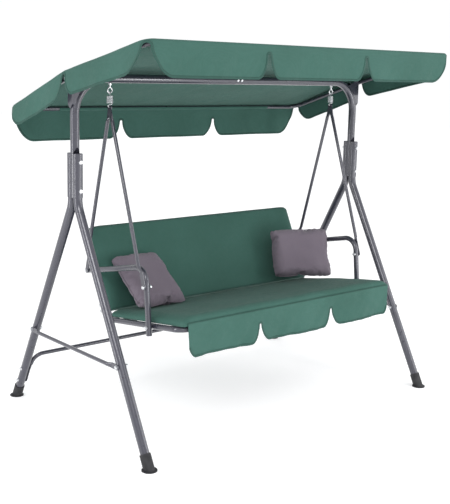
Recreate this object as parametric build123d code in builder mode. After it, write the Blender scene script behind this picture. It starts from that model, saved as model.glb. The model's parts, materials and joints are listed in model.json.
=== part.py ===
from build123d import *
import os
from math import atan, cos, degrees, radians, sin

# Three-seat garden glider swing with a tilting canopy.
# X runs along the bench, the front faces -Y, Z is up.
# The origin lies on the ground, midway between the four feet.

# ---------------------------------------------------------------- driving sizes
RAIL_X = 622.5                # side tubes of the seat, from the middle
CROSSBAR_Z = 1505.0           # crossbar axis
FOOT_HALF_SPREAD = 540.0      # leg axis at the ground, from the middle
TUBE_D = 38.0                 # main frame
SEAT_TUBE_D = 25.0            # seat, back and armrests
CANOPY_TUBE_D = 19.0
BOLT_D = 8.0

# ---------------------------------------------------------------- places across the width
ARMREST_GAP = 0.5
ARMREST_X = RAIL_X + SEAT_TUBE_D + ARMREST_GAP
ROD_OFFSET = 22.0
HANG_X = ARMREST_X + ROD_OFFSET         # plane of eye bolts, springs and hanging rods
SWING_ROOM = 170.0
FRAME_HALF_WIDTH = HANG_X + SWING_ROOM  # plane of each A-frame, from the middle

# ---------------------------------------------------------------- frame sizes
CROSSBAR_BEND = 145.0         # axis radius of the bend from crossbar to post
TUBE_WALL = 1.5
SOCKET_WALL = 1.6
SOCKET_PLAY = 0.2
SOCKET_D = TUBE_D + 2 * (SOCKET_WALL + SOCKET_PLAY)  # leg sockets, welded to the pressed foot of the post
SOCKET_Y = SOCKET_D / 2 + 1.2           # socket axis from the post axis
SOCKET_BOTTOM_Z = 1018.0
SOCKET_TOP_Z = 1200.0
SOCKET_BOLT_Z = (1047.0, 1166.0)
PRESS_RUN = 26.0              # height over which the post is pressed to a waist
PRESS_TIP_RADIUS = 2.9
LEG_CORNER_Z = 985.0          # where the leg axis turns outwards
LEG_BEND = 110.0
LEG_TOP_GAP = 12.0            # the leg stops this far below the socket's top
LEG_END_Z = 15.0              # end of the leg axis inside its foot

FOOT_FLANGE_D = 64.0
FOOT_FLANGE_T = 5.0
FOOT_FLANGE_ROUND = 2.0
FOOT_SLEEVE_D = TUBE_D + 8.0
FOOT_SLEEVE_LENGTH = 50.0     # above the leg's end
FOOT_SLEEVE_ROOT = 40.0       # below the leg's end, cut off level with the ground
CUT_PAST = 10.0               # how far a cut runs past the surface it opens

BRACE_D = 16.0
BRACE_WALL = 1.2
BRACE_Z = 375.0
BRACE_FLAT = 48.0             # pressed tongue, bolted near its end
BRACE_OVERRUN = 12.0          # tongue past the bolt
STRETCHER_D = 19.0
STRETCHER_WALL = 1.2
STRETCHER_Z = 226.0
STRETCHER_BEND = 50.0
STRETCHER_TAIL = 112.0        # straight run along the leg, past the bend
STRETCHER_ROUND = 4.0         # round length left between bend and pressed tail
STRETCHER_BOLT_RUNS = (23.0, 96.0)
PRESSED_T = 4.0               # thickness of a pressed tube end
PRESS_TAPER = 26.0            # length over which a tube goes flat
PRESSED_WIDTH = 1.45          # width of a pressed end, in tube diameters
PRESSED_CORNER = 0.96         # corner of the pressed section, in half thicknesses
TONGUE_ROOT = 1.0             # tongue's overlap with the tapered run
TONGUE_PLAY = 0.1             # between the two tongues on one hook

SPIGOT_LENGTH = 70.0
SPIGOT_CLEARANCE = 0.2
SPIGOT_NECK = 8.0             # drawn-down stretch inside the tube it belongs to
SPIGOT_WELD = 0.2             # the neck's overlap with that tube
CROSSBAR_BOLT_X = (22.0, 46.0)

# ---------------------------------------------------------------- fasteners
BOLT_HOLE_CLEARANCE = 0.2
SPINDLE_CLEARANCE = 0.08      # tilt bolt in the canopy's side bar
WASHER_D = 2 * BOLT_D
WASHER_T = 1.4
HEAD_FLATS = 13.0
HEAD_T = 5.3
NUT_T = 6.5
BOLT_TAIL = 3.0
SMALL_BOLT_D = 6.0
FACE_GAP = 0.2                # between two painted faces that are bolted together

# ---------------------------------------------------------------- suspension
PIVOT_Z = CROSSBAR_Z - TUBE_D / 2 - 40.0  # axis of the eye's lower wire
EYE_BOLT_TAIL = 1.5
EYE_RADIUS = 11.0
EYE_WIRE_D = 6.0
SPRING_WIRE_D = 3.6
SPRING_RADIUS = 12.0
SPRING_TURNS = 8
SPRING_PITCH = 3.8
HOOK_RADIUS = 8.0
HOOK_PLAY = 0.3
HOOK_REACH = 9.5              # coil end to the centre of each hook
HOOK_SEAT = 3.6               # curved wire's top over its lowest centre, across two tongues
ROD_D = 16.0
ROD_WALL = 1.2
ROD_TOP_FLAT = 46.0
ROD_FOOT_FLAT = 74.0
ROD_HOLE_D = 9.0
ROD_FRONT_FOOT = (-246.0, 657.0)
ROD_REAR_FOOT = (194.0, 651.0)

# ---------------------------------------------------------------- seat
SEAT_TUBE_WALL = 1.2
SEAT_TILT = 7.5               # the seat rises towards the front
BACK_RECLINE = 25.0
SEAT_HEEL = (97.5, 441.0)     # corner of the seat and back axes (y, z)
SEAT_DEPTH = 560.0            # heel to front rail axis
BACK_HEIGHT = 395.0           # heel to top bar axis
SEAT_BEND = 60.0
HEEL_GAP = 22.0               # rail and back tube stop short of the heel
HEEL_BOLT_RUNS = (HEEL_GAP + 16.0, HEEL_GAP + 44.0)
HEEL_PLATE_END = 14.0         # bracket past its last bolt
HEEL_PLATE_INSET = 2.0        # bracket edge inside the tube's outline
REAR_RAIL_RUN = 48.0
LOWER_RAIL_RUN = 62.0
CROSS_RAIL_D = 19.0
CROSS_RAIL_COPE = 4.4         # the rail ends saddle over the side tubes by this much
COPE_REACH = 40.0
HEEL_PLATE_T = 3.0
ARMREST_BEND = 62.0
ARMREST_REAR = (216.0, 646.0)
ARMREST_CORNER = (-236.0, 741.0)
ARMREST_FOOT = (-266.0, 452.0)
ARMREST_FOOT_BOLT = (-262.0, 487.0)
CUSHION_HALF_WIDTH = ARMREST_X - SEAT_TUBE_D / 2 - 8.5
CUSHION_GAP = 0.5
BACK_HALF_WIDTH = CUSHION_HALF_WIDTH - 2.0
SEAT_PAD_ROUND = 24.0         # front top edge
SEAT_PAD_EDGE = 8.0
BACK_PAD_ROUND = 22.0
SEAT_PAD_FRONT = 60.0         # top of the cushion above the rail axes
SEAT_PAD_REAR = 40.0
SEAT_PAD_START = 34.0
SEAT_PAD_LIP = 30.0           # cushion past the front rail axis
BACK_PAD = 56.0
BACK_PAD_START = 33.0         # the back cushion stands on the seat cushion's rear edge
BACK_FLAP_END = 292.0
BACK_HOOD_T = 14.0            # padding over the top bar
SLING_HALF_WIDTH = RAIL_X - SEAT_BEND - 2.5
SLING_PLAY = 0.1
VALANCE_HALF_WIDTH = CUSHION_HALF_WIDTH - 12.0
VALANCE_TOP_Z = 548.0
VALANCE_NOTCH_X = 222.0
VALANCE_NOTCH_DEPTH = 60.0
FABRIC_T = 2.0
VALANCE_DROP = 140.0

# ---------------------------------------------------------------- pillows
PILLOW_LONG = 325.0
PILLOW_SHORT = 270.0
PILLOW_T = 84.0
PILLOW_CORNER = 34.0
PILLOW_RIM = 0.06             # half thickness at the seam, in half thicknesses
PILLOW_FULLNESS = ((PILLOW_RIM, 1), (0.5, 0.87), (0.82, 0.68), (1, 0.45))
LEFT_PILLOW_AT = (170.5 - RAIL_X, 17.0, 616.0)
LEFT_PILLOW_LEAN = 54.0
RIGHT_PILLOW_AT = (RAIL_X - 148.5, -23.0, 645.0)
RIGHT_PILLOW_LEAN = 24.0
RIGHT_PILLOW_TURN = -25.0

# ---------------------------------------------------------------- canopy
TILT_Z = CROSSBAR_Z - 3.0     # axis of the tilt bolts
TILT_FRONT = 14.2             # slope of the front half of the roof
TILT_REAR = 17.5              # slope of the rear half
CANOPY_TUBE_WALL = 1.5
BRACKET_T = 3.0
CANOPY_SIDE_PLAY = 1.5
CANOPY_X = FRAME_HALF_WIDTH + TUBE_D / 2 + BRACKET_T + CANOPY_SIDE_PLAY + CANOPY_TUBE_D / 2
CANOPY_FRONT = 565.0
CANOPY_REAR = 475.0
CANOPY_BEND = 60.0
CANOPY_KNEE_BEND = 400.0
CORNER_SIDE_RUN = 14.0
CORNER_CROSS_RUN = 140.0
CANOPY_SPIGOT = 28.0
ROOF_GAP = 12.0               # crossbar to roof
ROOF_LIFT = CROSSBAR_Z - TILT_Z + TUBE_D / 2 + ROOF_GAP  # roof above the tilt axis
ROOF_SIDE_LIFT = 24.0
ROOF_LIFT_X = FRAME_HALF_WIDTH - 140.0
ROOF_HALF_WIDTH = CANOPY_X + CANOPY_TUBE_D / 2 + 6.5
ROOF_OVERHANG = 13.2
FRONT_VALANCE = 142.0
REAR_VALANCE = 158.0
SIDE_VALANCE = 112.0
NOTCH_WIDTH = 16.0
NOTCH_RADIUS = 50.0           # lower corners of the panels beside a notch
FRONT_NOTCH = (290.0, 42.0)   # distance from the middle, apex below the top edge
REAR_NOTCH = (290.0, 70.0)
SIDE_NOTCH_DEPTH = 26.0
FRONT_FLARE = (105.0, 105.0)  # lower corners at the two ends of each valance
REAR_FLARE = (118.0, 118.0)
SIDE_FLARE = (100.0, 68.0)
ROOF_EDGE_LIFT = 10.5

BRACKET_FOOT_Z = CROSSBAR_Z - 120.0
BRACKET_TOP_Z = CROSSBAR_Z + 7.0
BRACKET_HALF_WIDTH = 16.0
BRACKET_INNER_X = FRAME_HALF_WIDTH - 54.0
BRACKET_SHOULDER = 62.0       # angle round the bend where the bracket's top edge meets it
BRACKET_TAPER = (26.0, 34.0)  # corners cut from its foot
BRACKET_TOE = 4.0             # half width left at the foot
DOME_STEPS = ((2.0, 2.0), (1.6, 1.4))  # thickness and diameter, in bolt diameters, of a domed head
TILT_BOLT_REACH = 46.0        # bolt past the bracket, into the post

SIDES = {"left": -1, "right": 1}
ENDS = {"front": -1, "rear": 1}

LEG_SLOPE = (FOOT_HALF_SPREAD - SOCKET_Y) / LEG_CORNER_Z
LEG_ANGLE = degrees(atan(LEG_SLOPE))


# ---------------------------------------------------------------- helpers
def save(piece, label):
    """Label a finished piece and write it."""
    piece.part.label = label
    export_step(piece.part, f"parts/{label}.step")


def disc(plane, diameter):
    with BuildSketch(plane) as sketch:
        Circle(diameter / 2)
    return sketch.sketch


def ring(plane, diameter, wall):
    with BuildSketch(plane) as sketch:
        Circle(diameter / 2)
        Circle(diameter / 2 - wall, mode=Mode.SUBTRACT)
    return sketch.sketch


def hexagon(plane, flats):
    with BuildSketch(plane) as sketch:
        RegularPolygon(flats / 2, 6, major_radius=False)
    return sketch.sketch


def path_through(points, radius):
    with BuildLine() as line:
        FilletPolyline(*points, radius=radius)
    return line.wire()


def start_plane(path):
    return Plane(origin=path @ 0, z_dir=path % 0)


def add_bent_tube(points, radius, diameter, wall):
    """Sweep a round tube along straight runs joined by arcs."""
    path = path_through(points, radius)
    sweep(ring(start_plane(path), diameter, wall).face(), path=path)


def add_spigot(plane, bore, wall, length):
    """A reduced end, as drawn down from the tube, that enters the next tube."""
    outer = bore - 2 * SPIGOT_CLEARANCE
    extrude(ring(plane, outer, wall), amount=length)
    neck = bore + SPIGOT_WELD
    extrude(ring(plane.offset(-SPIGOT_NECK), neck, (neck - outer) / 2 + wall), amount=SPIGOT_NECK)


def drill(plane, diameter, depth):
    extrude(disc(plane, diameter), amount=depth, mode=Mode.SUBTRACT)


def add_bolt(seat, grip, diameter=BOLT_D, tail=BOLT_TAIL):
    """A hexagon bolt with washers and nut; seat is the plane under the head."""
    scale = diameter / BOLT_D
    washer = WASHER_D * scale
    head_seat = seat.offset(-WASHER_T)
    nut_seat = seat.offset(grip + WASHER_T)
    extrude(disc(head_seat, washer), amount=WASHER_T)
    extrude(hexagon(head_seat.offset(-HEAD_T * scale), HEAD_FLATS * scale), amount=HEAD_T * scale)
    extrude(disc(seat.offset(grip), washer), amount=WASHER_T)
    extrude(hexagon(nut_seat, HEAD_FLATS * scale), amount=NUT_T * scale)
    shank = WASHER_T + grip + WASHER_T + NUT_T * scale + tail
    extrude(disc(head_seat, diameter), amount=shank)


def press_section(plane, shift, width, thickness):
    """Closed section of four arcs, from a full circle to a flattened tube.

    The width lies along the plane's y, the thickness along its x.
    """
    if thickness >= width:
        corner_x, corner_y = width / 2 * sin(radians(60)), width / 2 * cos(radians(60))
    else:
        corner_x, corner_y = thickness / 2 * PRESSED_CORNER, width / 2 - thickness / 2
    with BuildSketch(plane) as sketch:
        with BuildLine():
            right, left = shift + corner_x, shift - corner_x
            ThreePointArc((right, -corner_y), (shift + thickness / 2, 0), (right, corner_y))
            ThreePointArc((right, corner_y), (shift, width / 2), (left, corner_y))
            ThreePointArc((left, corner_y), (shift - thickness / 2, 0), (left, -corner_y))
            ThreePointArc((left, -corner_y), (shift, -width / 2), (right, -corner_y))
        make_face()
    return sketch.sketch


def add_pressed_end(tube_end, shift, diameter, flat, run):
    """Press a tube flat past tube_end: a tapered run, then a flat tongue.

    tube_end looks along the tube, with its x across the tongue.  shift moves
    the tongue's middle plane along that x.
    """
    width = diameter * PRESSED_WIDTH
    tongue_start = tube_end.offset(run)
    loft([press_section(tube_end, 0, diameter, diameter),
          press_section(tongue_start, shift, width, PRESSED_T)])
    face = Plane(origin=tongue_start.from_local_coords((shift - PRESSED_T / 2, 0, 0)),
                 x_dir=tube_end.z_dir, z_dir=tube_end.x_dir)
    straight = flat - width / 2
    with BuildSketch(face) as tongue:
        with BuildLine():
            Line((-TONGUE_ROOT, -width / 2), (straight, -width / 2))
            ThreePointArc((straight, -width / 2), (flat, 0), (straight, width / 2))
            Line((straight, width / 2), (-TONGUE_ROOT, width / 2))
            Line((-TONGUE_ROOT, width / 2), (-TONGUE_ROOT, -width / 2))
        make_face()
    extrude(tongue.sketch, amount=PRESSED_T)


def leg_y(end, z):
    """Leg axis below its bend."""
    return end * (SOCKET_Y + (LEG_CORNER_Z - z) * LEG_SLOPE)


def stretcher_bolt_point(x, run):
    """Bolt centre on the rear leg's axis, run below the stretcher's bend."""
    drop = STRETCHER_BEND + STRETCHER_ROUND + run
    angle = radians(LEG_ANGLE)
    return Vector(x, leg_y(1, STRETCHER_Z) + drop * sin(angle), STRETCHER_Z - drop * cos(angle))


def seat_point(x, run, lift):
    """A point run forward from the heel along the rails, lift above them."""
    angle = radians(SEAT_TILT)
    return Vector(x, SEAT_HEEL[0] - run * cos(angle) + lift * sin(angle),
                  SEAT_HEEL[1] + run * sin(angle) + lift * cos(angle))


def back_point(x, run, lift):
    """A point run up the back from the heel, lift in front of its tubes."""
    angle = radians(BACK_RECLINE)
    return Vector(x, SEAT_HEEL[0] + run * sin(angle) - lift * cos(angle),
                  SEAT_HEEL[1] + run * cos(angle) + lift * sin(angle))


def canopy_point(x, run, lift):
    """A point on the roof frame, run rearwards from the tilt axis."""
    angle = radians(TILT_REAR if run > 0 else TILT_FRONT)
    return Vector(x, run * cos(angle) + lift * sin(angle), TILT_Z - run * sin(angle) + lift * cos(angle))


def outline_yz(x, points):
    """A closed outline of (y, z) corners on the plane at x."""
    with BuildSketch(Plane.YZ.offset(x)) as sketch:
        with BuildLine():
            Polyline(*points, close=True)
        make_face()
    return sketch.sketch


os.makedirs("parts", exist_ok=True)

# ---------------------------------------------------------------- crossbar halves with posts
for side_name, side in SIDES.items():
    post_x = side * FRAME_HALF_WIDTH
    press_top = SOCKET_TOP_Z + PRESS_RUN
    waist_height = press_top - SOCKET_BOTTOM_Z
    waist_z = SOCKET_BOTTOM_Z + waist_height / 2
    dies = []
    for grow in (0, TUBE_WALL):
        cut = None
        for end in ENDS.values():
            body = Pos(post_x, end * SOCKET_Y, (SOCKET_BOTTOM_Z + SOCKET_TOP_Z) / 2) * Cylinder(
                SOCKET_D / 2 + grow, SOCKET_TOP_Z - SOCKET_BOTTOM_Z)
            nose = Pos(post_x, end * SOCKET_Y, SOCKET_TOP_Z + PRESS_RUN / 2) * Cone(
                SOCKET_D / 2 + grow, PRESS_TIP_RADIUS + grow, PRESS_RUN)
            cut = body + nose if cut is None else cut + body + nose
        dies.append(cut)
    bore = Pos(post_x, 0, waist_z) * Cylinder(TUBE_D / 2 - TUBE_WALL, waist_height)
    cavity = bore - dies[1]
    with BuildPart() as crossbar:
        add_bent_tube([(0, 0, CROSSBAR_Z), (post_x, 0, CROSSBAR_Z), (post_x, 0, press_top)],
                      CROSSBAR_BEND, TUBE_D, TUBE_WALL)
        extrude(disc(Plane.XY.offset(SOCKET_BOTTOM_Z).shift_origin((post_x, 0, SOCKET_BOTTOM_Z)), TUBE_D),
                amount=waist_height)
        add(dies[0], mode=Mode.SUBTRACT)
        add(cavity, mode=Mode.SUBTRACT)
        for bolt_z in SOCKET_BOLT_Z:
            drill(Plane(origin=(post_x, -TUBE_D, bolt_z), z_dir=(0, 1, 0)),
                  BOLT_D + 2 * BOLT_HOLE_CLEARANCE, 2 * TUBE_D)
        drill(Plane(origin=(side * HANG_X, 0, CROSSBAR_Z - TUBE_D), z_dir=(0, 0, 1)),
              BOLT_D + 2 * BOLT_HOLE_CLEARANCE, 2 * TUBE_D)
        if side_name == "left":
            add_spigot(Plane(origin=(0, 0, CROSSBAR_Z), z_dir=(1, 0, 0)),
                       TUBE_D - 2 * TUBE_WALL, TUBE_WALL, SPIGOT_LENGTH)
        for bolt_x in CROSSBAR_BOLT_X:
            drill(Plane(origin=(bolt_x, -TUBE_D, CROSSBAR_Z), z_dir=(0, 1, 0)),
                  SMALL_BOLT_D + 2 * BOLT_HOLE_CLEARANCE, 2 * TUBE_D)
    save(crossbar, f"crossbar_{side_name}")

# ---------------------------------------------------------------- leg sockets, legs and feet
for side_name, side in SIDES.items():
    with BuildPart() as socket:
        for end in ENDS.values():
            foot = Plane(origin=(side * FRAME_HALF_WIDTH, end * SOCKET_Y, SOCKET_BOTTOM_Z))
            extrude(ring(foot, SOCKET_D, SOCKET_WALL), amount=SOCKET_TOP_Z - SOCKET_BOTTOM_Z)
        for bolt_z in SOCKET_BOLT_Z:
            drill(Plane(origin=(side * FRAME_HALF_WIDTH, -2 * SOCKET_D, bolt_z), z_dir=(0, 1, 0)),
                  BOLT_D + 2 * BOLT_HOLE_CLEARANCE, 4 * SOCKET_D)
    save(socket, f"leg_socket_{side_name}")

leg_end_y = SOCKET_Y + (LEG_CORNER_Z - LEG_END_Z) * LEG_SLOPE
for side_name, side in SIDES.items():
    for end_name, end in ENDS.items():
        leg_x = side * FRAME_HALF_WIDTH
        leg_end = Vector(leg_x, end * leg_end_y, LEG_END_Z)
        leg_axis = Vector(0, -end * sin(radians(LEG_ANGLE)), cos(radians(LEG_ANGLE)))
        with BuildPart() as leg:
            add_bent_tube([(leg_x, end * SOCKET_Y, SOCKET_TOP_Z - LEG_TOP_GAP),
                           (leg_x, end * SOCKET_Y, LEG_CORNER_Z), leg_end],
                          LEG_BEND, TUBE_D, TUBE_WALL)
            for bolt_z in SOCKET_BOLT_Z:
                drill(Plane(origin=(leg_x, -2 * SOCKET_D, bolt_z), z_dir=(0, 1, 0)),
                      BOLT_D + 2 * BOLT_HOLE_CLEARANCE, 4 * SOCKET_D)
            drill(Plane(origin=(leg_x - TUBE_D, leg_y(end, BRACE_Z), BRACE_Z), z_dir=(1, 0, 0)),
                  BOLT_D + 2 * BOLT_HOLE_CLEARANCE, 2 * TUBE_D)
            if end_name == "rear":
                for run in STRETCHER_BOLT_RUNS:
                    drill(Plane(origin=stretcher_bolt_point(leg_x - TUBE_D, run), z_dir=(1, 0, 0)),
                          BOLT_D + 2 * BOLT_HOLE_CLEARANCE, 2 * TUBE_D)
        save(leg, f"leg_{end_name}_{side_name}")

        sleeve = Plane(origin=leg_end - leg_axis * FOOT_SLEEVE_ROOT, z_dir=leg_axis)
        with BuildPart() as foot:
            extrude(disc(sleeve, FOOT_SLEEVE_D), amount=FOOT_SLEEVE_ROOT + FOOT_SLEEVE_LENGTH)
            extrude(disc(Plane(origin=(leg_x, end * FOOT_HALF_SPREAD, 0)), FOOT_FLANGE_D),
                    amount=FOOT_FLANGE_T)
            split(bisect_by=Plane.XY, keep=Keep.TOP)
            drill(Plane(origin=leg_end, z_dir=leg_axis), TUBE_D, FOOT_SLEEVE_LENGTH + CUT_PAST)
            flange_rim = foot.edges().filter_by(GeomType.CIRCLE).group_by(Axis.Z)[1]
            fillet(flange_rim, FOOT_FLANGE_ROUND)
        save(foot, f"foot_{end_name}_{side_name}")

# ---------------------------------------------------------------- side braces
brace_face_x = FRAME_HALF_WIDTH + TUBE_D / 2
brace_bolt_y = leg_y(1, BRACE_Z)
for side_name, side in SIDES.items():
    axis_x = side * (brace_face_x + BRACE_D / 2)
    shift = -side * (BRACE_D / 2 - PRESSED_T / 2)
    round_half = brace_bolt_y + BRACE_OVERRUN - BRACE_FLAT - PRESS_TAPER
    with BuildPart() as brace:
        middle = Plane(origin=(axis_x, -round_half, BRACE_Z), x_dir=(1, 0, 0), z_dir=(0, 1, 0))
        extrude(ring(middle, BRACE_D, BRACE_WALL), amount=2 * round_half)
        for end in ENDS.values():
            tube_end = Plane(origin=(axis_x, end * round_half, BRACE_Z), x_dir=(1, 0, 0), z_dir=(0, end, 0))
            add_pressed_end(tube_end, shift, BRACE_D, BRACE_FLAT, PRESS_TAPER)
            drill(Plane(origin=(axis_x - TUBE_D, end * brace_bolt_y, BRACE_Z), z_dir=(1, 0, 0)),
                  BOLT_D + 2 * BOLT_HOLE_CLEARANCE, 2 * TUBE_D)
    save(brace, f"side_brace_{side_name}")

with BuildPart() as brace_bolts:
    for side in SIDES.values():
        for end in ENDS.values():
            seat = Plane(origin=(side * (brace_face_x + PRESSED_T), leg_y(end, BRACE_Z), BRACE_Z),
                         z_dir=(-side, 0, 0))
            add_bolt(seat, PRESSED_T + TUBE_D)
save(brace_bolts, "side_brace_bolts")

# ---------------------------------------------------------------- rear stretcher
down = Vector(0, sin(radians(LEG_ANGLE)), -cos(radians(LEG_ANGLE)))
stretcher_y = leg_y(1, STRETCHER_Z)
stretcher_face = FRAME_HALF_WIDTH - TUBE_D / 2
stretcher_x = stretcher_face - STRETCHER_D / 2
corners = []
for side in SIDES.values():
    corner = Vector(side * stretcher_x, stretcher_y, STRETCHER_Z)
    corners.append((corner, corner + down * (STRETCHER_BEND + STRETCHER_ROUND)))
with BuildPart() as stretcher:
    add_bent_tube([corners[0][1], corners[0][0], corners[1][0], corners[1][1]],
                  STRETCHER_BEND, STRETCHER_D, STRETCHER_WALL)
    for side, (corner, tail) in zip(SIDES.values(), corners):
        tube_end = Plane(origin=tail, x_dir=(1, 0, 0), z_dir=down)
        add_pressed_end(tube_end, side * (STRETCHER_D - PRESSED_T) / 2, STRETCHER_D,
                        STRETCHER_TAIL - PRESS_TAPER / 2, PRESS_TAPER / 2)
        for run in STRETCHER_BOLT_RUNS:
            drill(Plane(origin=stretcher_bolt_point(corner.X - TUBE_D, run), z_dir=(1, 0, 0)),
                  BOLT_D + 2 * BOLT_HOLE_CLEARANCE, 2 * TUBE_D)
save(stretcher, "rear_stretcher")

with BuildPart() as stretcher_bolts:
    for side in SIDES.values():
        for run in STRETCHER_BOLT_RUNS:
            under_head = stretcher_bolt_point(side * (FRAME_HALF_WIDTH + TUBE_D / 2), run)
            add_bolt(Plane(origin=under_head, z_dir=(-side, 0, 0)), TUBE_D + PRESSED_T)
save(stretcher_bolts, "rear_stretcher_bolts")

with BuildPart() as crossbar_bolts:
    for bolt_x in CROSSBAR_BOLT_X:
        add_bolt(Plane(origin=(bolt_x, -TUBE_D / 2, CROSSBAR_Z), z_dir=(0, 1, 0)), TUBE_D, SMALL_BOLT_D)
save(crossbar_bolts, "crossbar_bolts")

socket_depth = 2 * SOCKET_Y + SOCKET_D
with BuildPart() as socket_bolts:
    for side in SIDES.values():
        for bolt_z in SOCKET_BOLT_Z:
            seat = Plane(origin=(side * FRAME_HALF_WIDTH, -socket_depth / 2, bolt_z), z_dir=(0, 1, 0))
            add_bolt(seat, socket_depth)
save(socket_bolts, "socket_bolts")

# ---------------------------------------------------------------- tilt brackets and bolts
bend_centre_x = FRAME_HALF_WIDTH - CROSSBAR_BEND
bend_centre_z = CROSSBAR_Z - CROSSBAR_BEND
shoulder_z = bend_centre_z + CROSSBAR_BEND * sin(radians(BRACKET_SHOULDER))
bend_diagonal = CROSSBAR_BEND * sin(radians(45))
plate_inner_x = FRAME_HALF_WIDTH + TUBE_D / 2 + FACE_GAP
plate_outer_x = plate_inner_x + BRACKET_T
corner_y = BRACKET_TOE + BRACKET_TAPER[0]
for side_name, side in SIDES.items():
    post_x = side * FRAME_HALF_WIDTH
    rail = path_through([(0, 0, CROSSBAR_Z), (post_x, 0, CROSSBAR_Z), (post_x, 0, SOCKET_TOP_Z)],
                        CROSSBAR_BEND)
    with BuildPart(mode=Mode.PRIVATE) as envelope:
        sweep(disc(start_plane(rail), TUBE_D + FACE_GAP).face(), path=rail)
    with BuildPart() as bracket:
        with BuildSketch(Plane.XZ.offset(-BRACKET_HALF_WIDTH)) as cheek:
            with BuildLine():
                Polyline((side * plate_outer_x, BRACKET_FOOT_Z), (side * plate_outer_x, BRACKET_TOP_Z),
                         (side * FRAME_HALF_WIDTH, BRACKET_TOP_Z),
                         (side * BRACKET_INNER_X, shoulder_z),
                         (side * (bend_centre_x + bend_diagonal), bend_centre_z + bend_diagonal),
                         (side * FRAME_HALF_WIDTH, BRACKET_FOOT_Z), close=True)
            make_face()
        extrude(amount=2 * BRACKET_HALF_WIDTH)
        with BuildSketch(Plane.XY.offset(BRACKET_FOOT_Z - CUT_PAST)):
            with Locations((side * (plate_inner_x - CROSSBAR_BEND / 2), 0)):
                Rectangle(CROSSBAR_BEND, 2 * (BRACKET_HALF_WIDTH - BRACKET_T))
        extrude(amount=BRACKET_TOP_Z - BRACKET_FOOT_Z + 2 * CUT_PAST, mode=Mode.SUBTRACT)
        add(envelope.part, mode=Mode.SUBTRACT)
        drill(Plane(origin=(side * (plate_inner_x - BRACKET_T), 0, TILT_Z), z_dir=(side, 0, 0)),
              BOLT_D + 2 * BOLT_HOLE_CLEARANCE, 3 * BRACKET_T)
        with BuildSketch(Plane.YZ.offset(side * plate_inner_x)) as foot_cut:
            for end in ENDS.values():
                with BuildLine():
                    Polyline((end * corner_y, BRACKET_FOOT_Z - 1), (end * BRACKET_TOE, BRACKET_FOOT_Z - 1),
                             (end * corner_y, BRACKET_FOOT_Z + BRACKET_TAPER[1]), close=True)
                make_face()
        extrude(foot_cut.sketch, amount=TUBE_D, both=True, mode=Mode.SUBTRACT)
    save(bracket, f"tilt_bracket_{side_name}")

bar_outer_x = CANOPY_X + CANOPY_TUBE_D / 2
with BuildPart() as tilt_bolts:
    for side in SIDES.values():
        head = Plane(origin=(side * bar_outer_x, 0, TILT_Z), z_dir=(-side, 0, 0))
        dome = head.offset(-FACE_GAP)
        extrude(disc(dome, BOLT_D), amount=bar_outer_x - plate_inner_x + TILT_BOLT_REACH)
        for thickness, across in DOME_STEPS:
            extrude(disc(dome, across * BOLT_D), amount=-thickness)
            dome = dome.offset(-thickness)
        spacer = Plane(origin=(side * plate_outer_x, 0, TILT_Z), z_dir=(side, 0, 0))
        extrude(disc(spacer, WASHER_D), amount=CANOPY_X - CANOPY_TUBE_D / 2 - plate_outer_x - TONGUE_PLAY)
        nut_face = Plane(origin=(side * plate_inner_x, 0, TILT_Z), z_dir=(-side, 0, 0))
        extrude(disc(nut_face, WASHER_D), amount=WASHER_T)
        extrude(hexagon(nut_face.offset(WASHER_T), HEAD_FLATS), amount=NUT_T)
save(tilt_bolts, "tilt_bolts")

# ---------------------------------------------------------------- eye bolts, springs, hanging rods
eye_centre_z = PIVOT_Z + EYE_RADIUS
bar_bottom_z = CROSSBAR_Z - TUBE_D / 2
bar_top_z = CROSSBAR_Z + TUBE_D / 2
for side_name, side in SIDES.items():
    stem_start = eye_centre_z + EYE_RADIUS
    with BuildPart() as eye_bolt:
        loop = Edge.make_circle(EYE_RADIUS, Plane(origin=(side * HANG_X, 0, eye_centre_z), z_dir=(0, 1, 0)))
        sweep(disc(Plane(origin=loop @ 0, z_dir=loop % 0), EYE_WIRE_D).face(), path=loop)
        extrude(disc(Plane.XY.offset(stem_start).shift_origin((side * HANG_X, 0, stem_start)), BOLT_D),
                amount=bar_top_z + WASHER_T + NUT_T + EYE_BOLT_TAIL - stem_start)
    save(eye_bolt, f"eye_bolt_{side_name}")

with BuildPart() as eye_bolt_nuts:
    for side in SIDES.values():
        for face_z, up in ((bar_bottom_z, -1), (bar_top_z, 1)):
            face = Plane(origin=(side * HANG_X, 0, face_z), z_dir=(0, 0, up))
            extrude(disc(face, WASHER_D), amount=WASHER_T)
            extrude(hexagon(face.offset(WASHER_T), HEAD_FLATS), amount=NUT_T)
            drill(face.offset(-CUT_PAST), BOLT_D, WASHER_T + NUT_T + 2 * CUT_PAST)
save(eye_bolt_nuts, "eye_bolt_nuts")

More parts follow.
